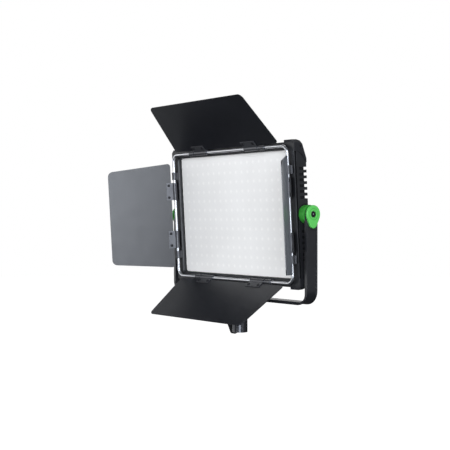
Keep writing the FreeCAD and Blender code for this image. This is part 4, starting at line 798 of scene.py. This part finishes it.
# Name, azimuth from +X towards +Y and elevation in degrees, distance, width, height, radiance
# and colour.
SOFTBOXES = [
    ("key_softbox", -41, 6, 2.0, 1.2, 1.5, 9.5, KEY_WHITE),
    ("front_left_softbox", 219, 5, 2.0, 1.4, 1.4, 1.6, WHITE),
    ("left_wall", 178, 0, 2.2, 2.0, 2.4, 0.5, COOL_WHITE),
    ("rear_wall", 141, 8, 2.4, 2.6, 1.6, 1.0, WHITE),
    ("right_rear_softbox", 39, 5, 2.2, 1.2, 1.4, 0.35, WHITE),
    ("top_softbox", 110, 68, 2.0, 1.4, 1.4, 1.2, WHITE),
    ("right_strip", 6, 2, 2.2, 0.4, 1.7, 3.0, COOL_WHITE),
    ("front_strip", -86, 2, 2.2, 0.4, 1.7, 3.0, COOL_WHITE),
]

STUDIO_COLOUR = (0.9, 0.95, 1.0)
STUDIO_STRENGTH = 0.06
BACKDROP_STRENGTH = 1.0
FLOOR_HEIGHT = -0.45
FLOOR_REACH = 9.0
FLOOR_SIDES = 96
FLOOR_DIM_REACH = 1.3
# The floor's own brightness over the distance from its middle, in dim reaches.
FLOOR_GLOW = [(0.2, 0.42), (0.95, 1.0)]


def add_camera():
    """The camera, level apart from a slight dip, off the object's front right corner."""
    camera = bpy.data.cameras.new("camera")
    camera.lens = CAMERA_LENS
    camera.sensor_width = CAMERA_SENSOR_WIDTH
    camera.clip_end = CAMERA_REACH
    holder = bpy.data.objects.new("camera", camera)
    holder.location = CAMERA_PLACE
    holder.rotation_euler = (math.pi / 2 - CAMERA_DIP, 0.0, CAMERA_TURN)
    bpy.context.scene.collection.objects.link(holder)
    bpy.context.scene.camera = holder


def add_softbox(name, azimuth, elevation, distance, width, height, radiance, colour):
    """A soft light that faces the subject, unseen by the camera itself."""
    turn, lift = math.radians(azimuth), math.radians(elevation)
    away = Vector((math.cos(turn) * math.cos(lift), math.sin(turn) * math.cos(lift),
                   math.sin(lift)))
    light = bpy.data.lights.new(name, "AREA")
    light.shape = "RECTANGLE"
    light.size = width
    light.size_y = height
    light.energy = radiance * math.pi * width * height
    light.color = colour
    holder = bpy.data.objects.new(name, light)
    holder.location = SUBJECT + away * distance
    holder.rotation_euler = away.to_track_quat("Z", "Y").to_euler()
    holder.visible_camera = False
    bpy.context.scene.collection.objects.link(holder)


def add_lights():
    """A key by the camera, weaker boxes and pale walls all round, and two narrow strips whose
    reflections run along the wire, the socket and the edges."""
    for softbox in SOFTBOXES:
        add_softbox(*softbox)


def add_world():
    """Pure white behind the object, and a dimmer studio for its light and reflections."""
    world = bpy.data.worlds.new("studio")
    world.use_nodes = True
    tree = world.node_tree
    tree.nodes.clear()
    output = tree.nodes.new("ShaderNodeOutputWorld")
    choose = tree.nodes.new("ShaderNodeMixShader")
    ray = tree.nodes.new("ShaderNodeLightPath")
    tree.links.new(ray.outputs["Is Camera Ray"], choose.inputs["Fac"])
    _, studio, backdrop = choose.inputs
    for target, colour, strength in ((studio, STUDIO_COLOUR, STUDIO_STRENGTH),
                                     (backdrop, WHITE, BACKDROP_STRENGTH)):
        background = tree.nodes.new("ShaderNodeBackground")
        background.inputs["Color"].default_value = (*colour, 1.0)
        background.inputs["Strength"].default_value = strength
        tree.links.new(background.outputs[0], target)
    tree.links.new(choose.outputs[0], output.inputs["Surface"])
    bpy.context.scene.world = world


def floor_white():
    """Pale paint, dim enough under the object to take a shadow and white further out."""
    shader = Shader("floor_white")
    shader.set("Base Color", shader.ramp(shader.noise(0.8), [(0.3, 0.85), (0.7, 0.88)]))
    shader.set("Roughness", shader.ramp(shader.noise(0.3), [(0.3, 0.75), (0.7, 0.85)]))
    away = shader.node("ShaderNodeVectorMath", operation="LENGTH")
    shader.feed(away.inputs[0], shader.place)
    spread = shader.maths("DIVIDE", away.outputs["Value"], FLOOR_DIM_REACH)
    shader.set("Emission Color", WHITE)
    shader.set("Emission Strength", shader.ramp(spread, FLOOR_GLOW))
    return shader.material


def add_floor():
    """A broad pale disc, which neither lights the object nor shows in its reflections."""
    mesh = bpy.data.meshes.new("studio_floor")
    floor_mesh = bmesh.new()
    bmesh.ops.create_circle(floor_mesh, cap_ends=True, segments=FLOOR_SIDES,
                            radius=FLOOR_REACH)
    floor_mesh.to_mesh(mesh)
    floor_mesh.free()
    mesh.materials.append(floor_white())
    floor = bpy.data.objects.new("studio_floor", mesh)
    floor.location = (0, 0, FLOOR_HEIGHT)
    floor.visible_glossy = False
    floor.visible_diffuse = False
    bpy.context.scene.collection.objects.link(floor)


bpy.context.scene.view_settings.view_transform = "Standard"
add_camera()
add_lights()
add_world()
add_floor()
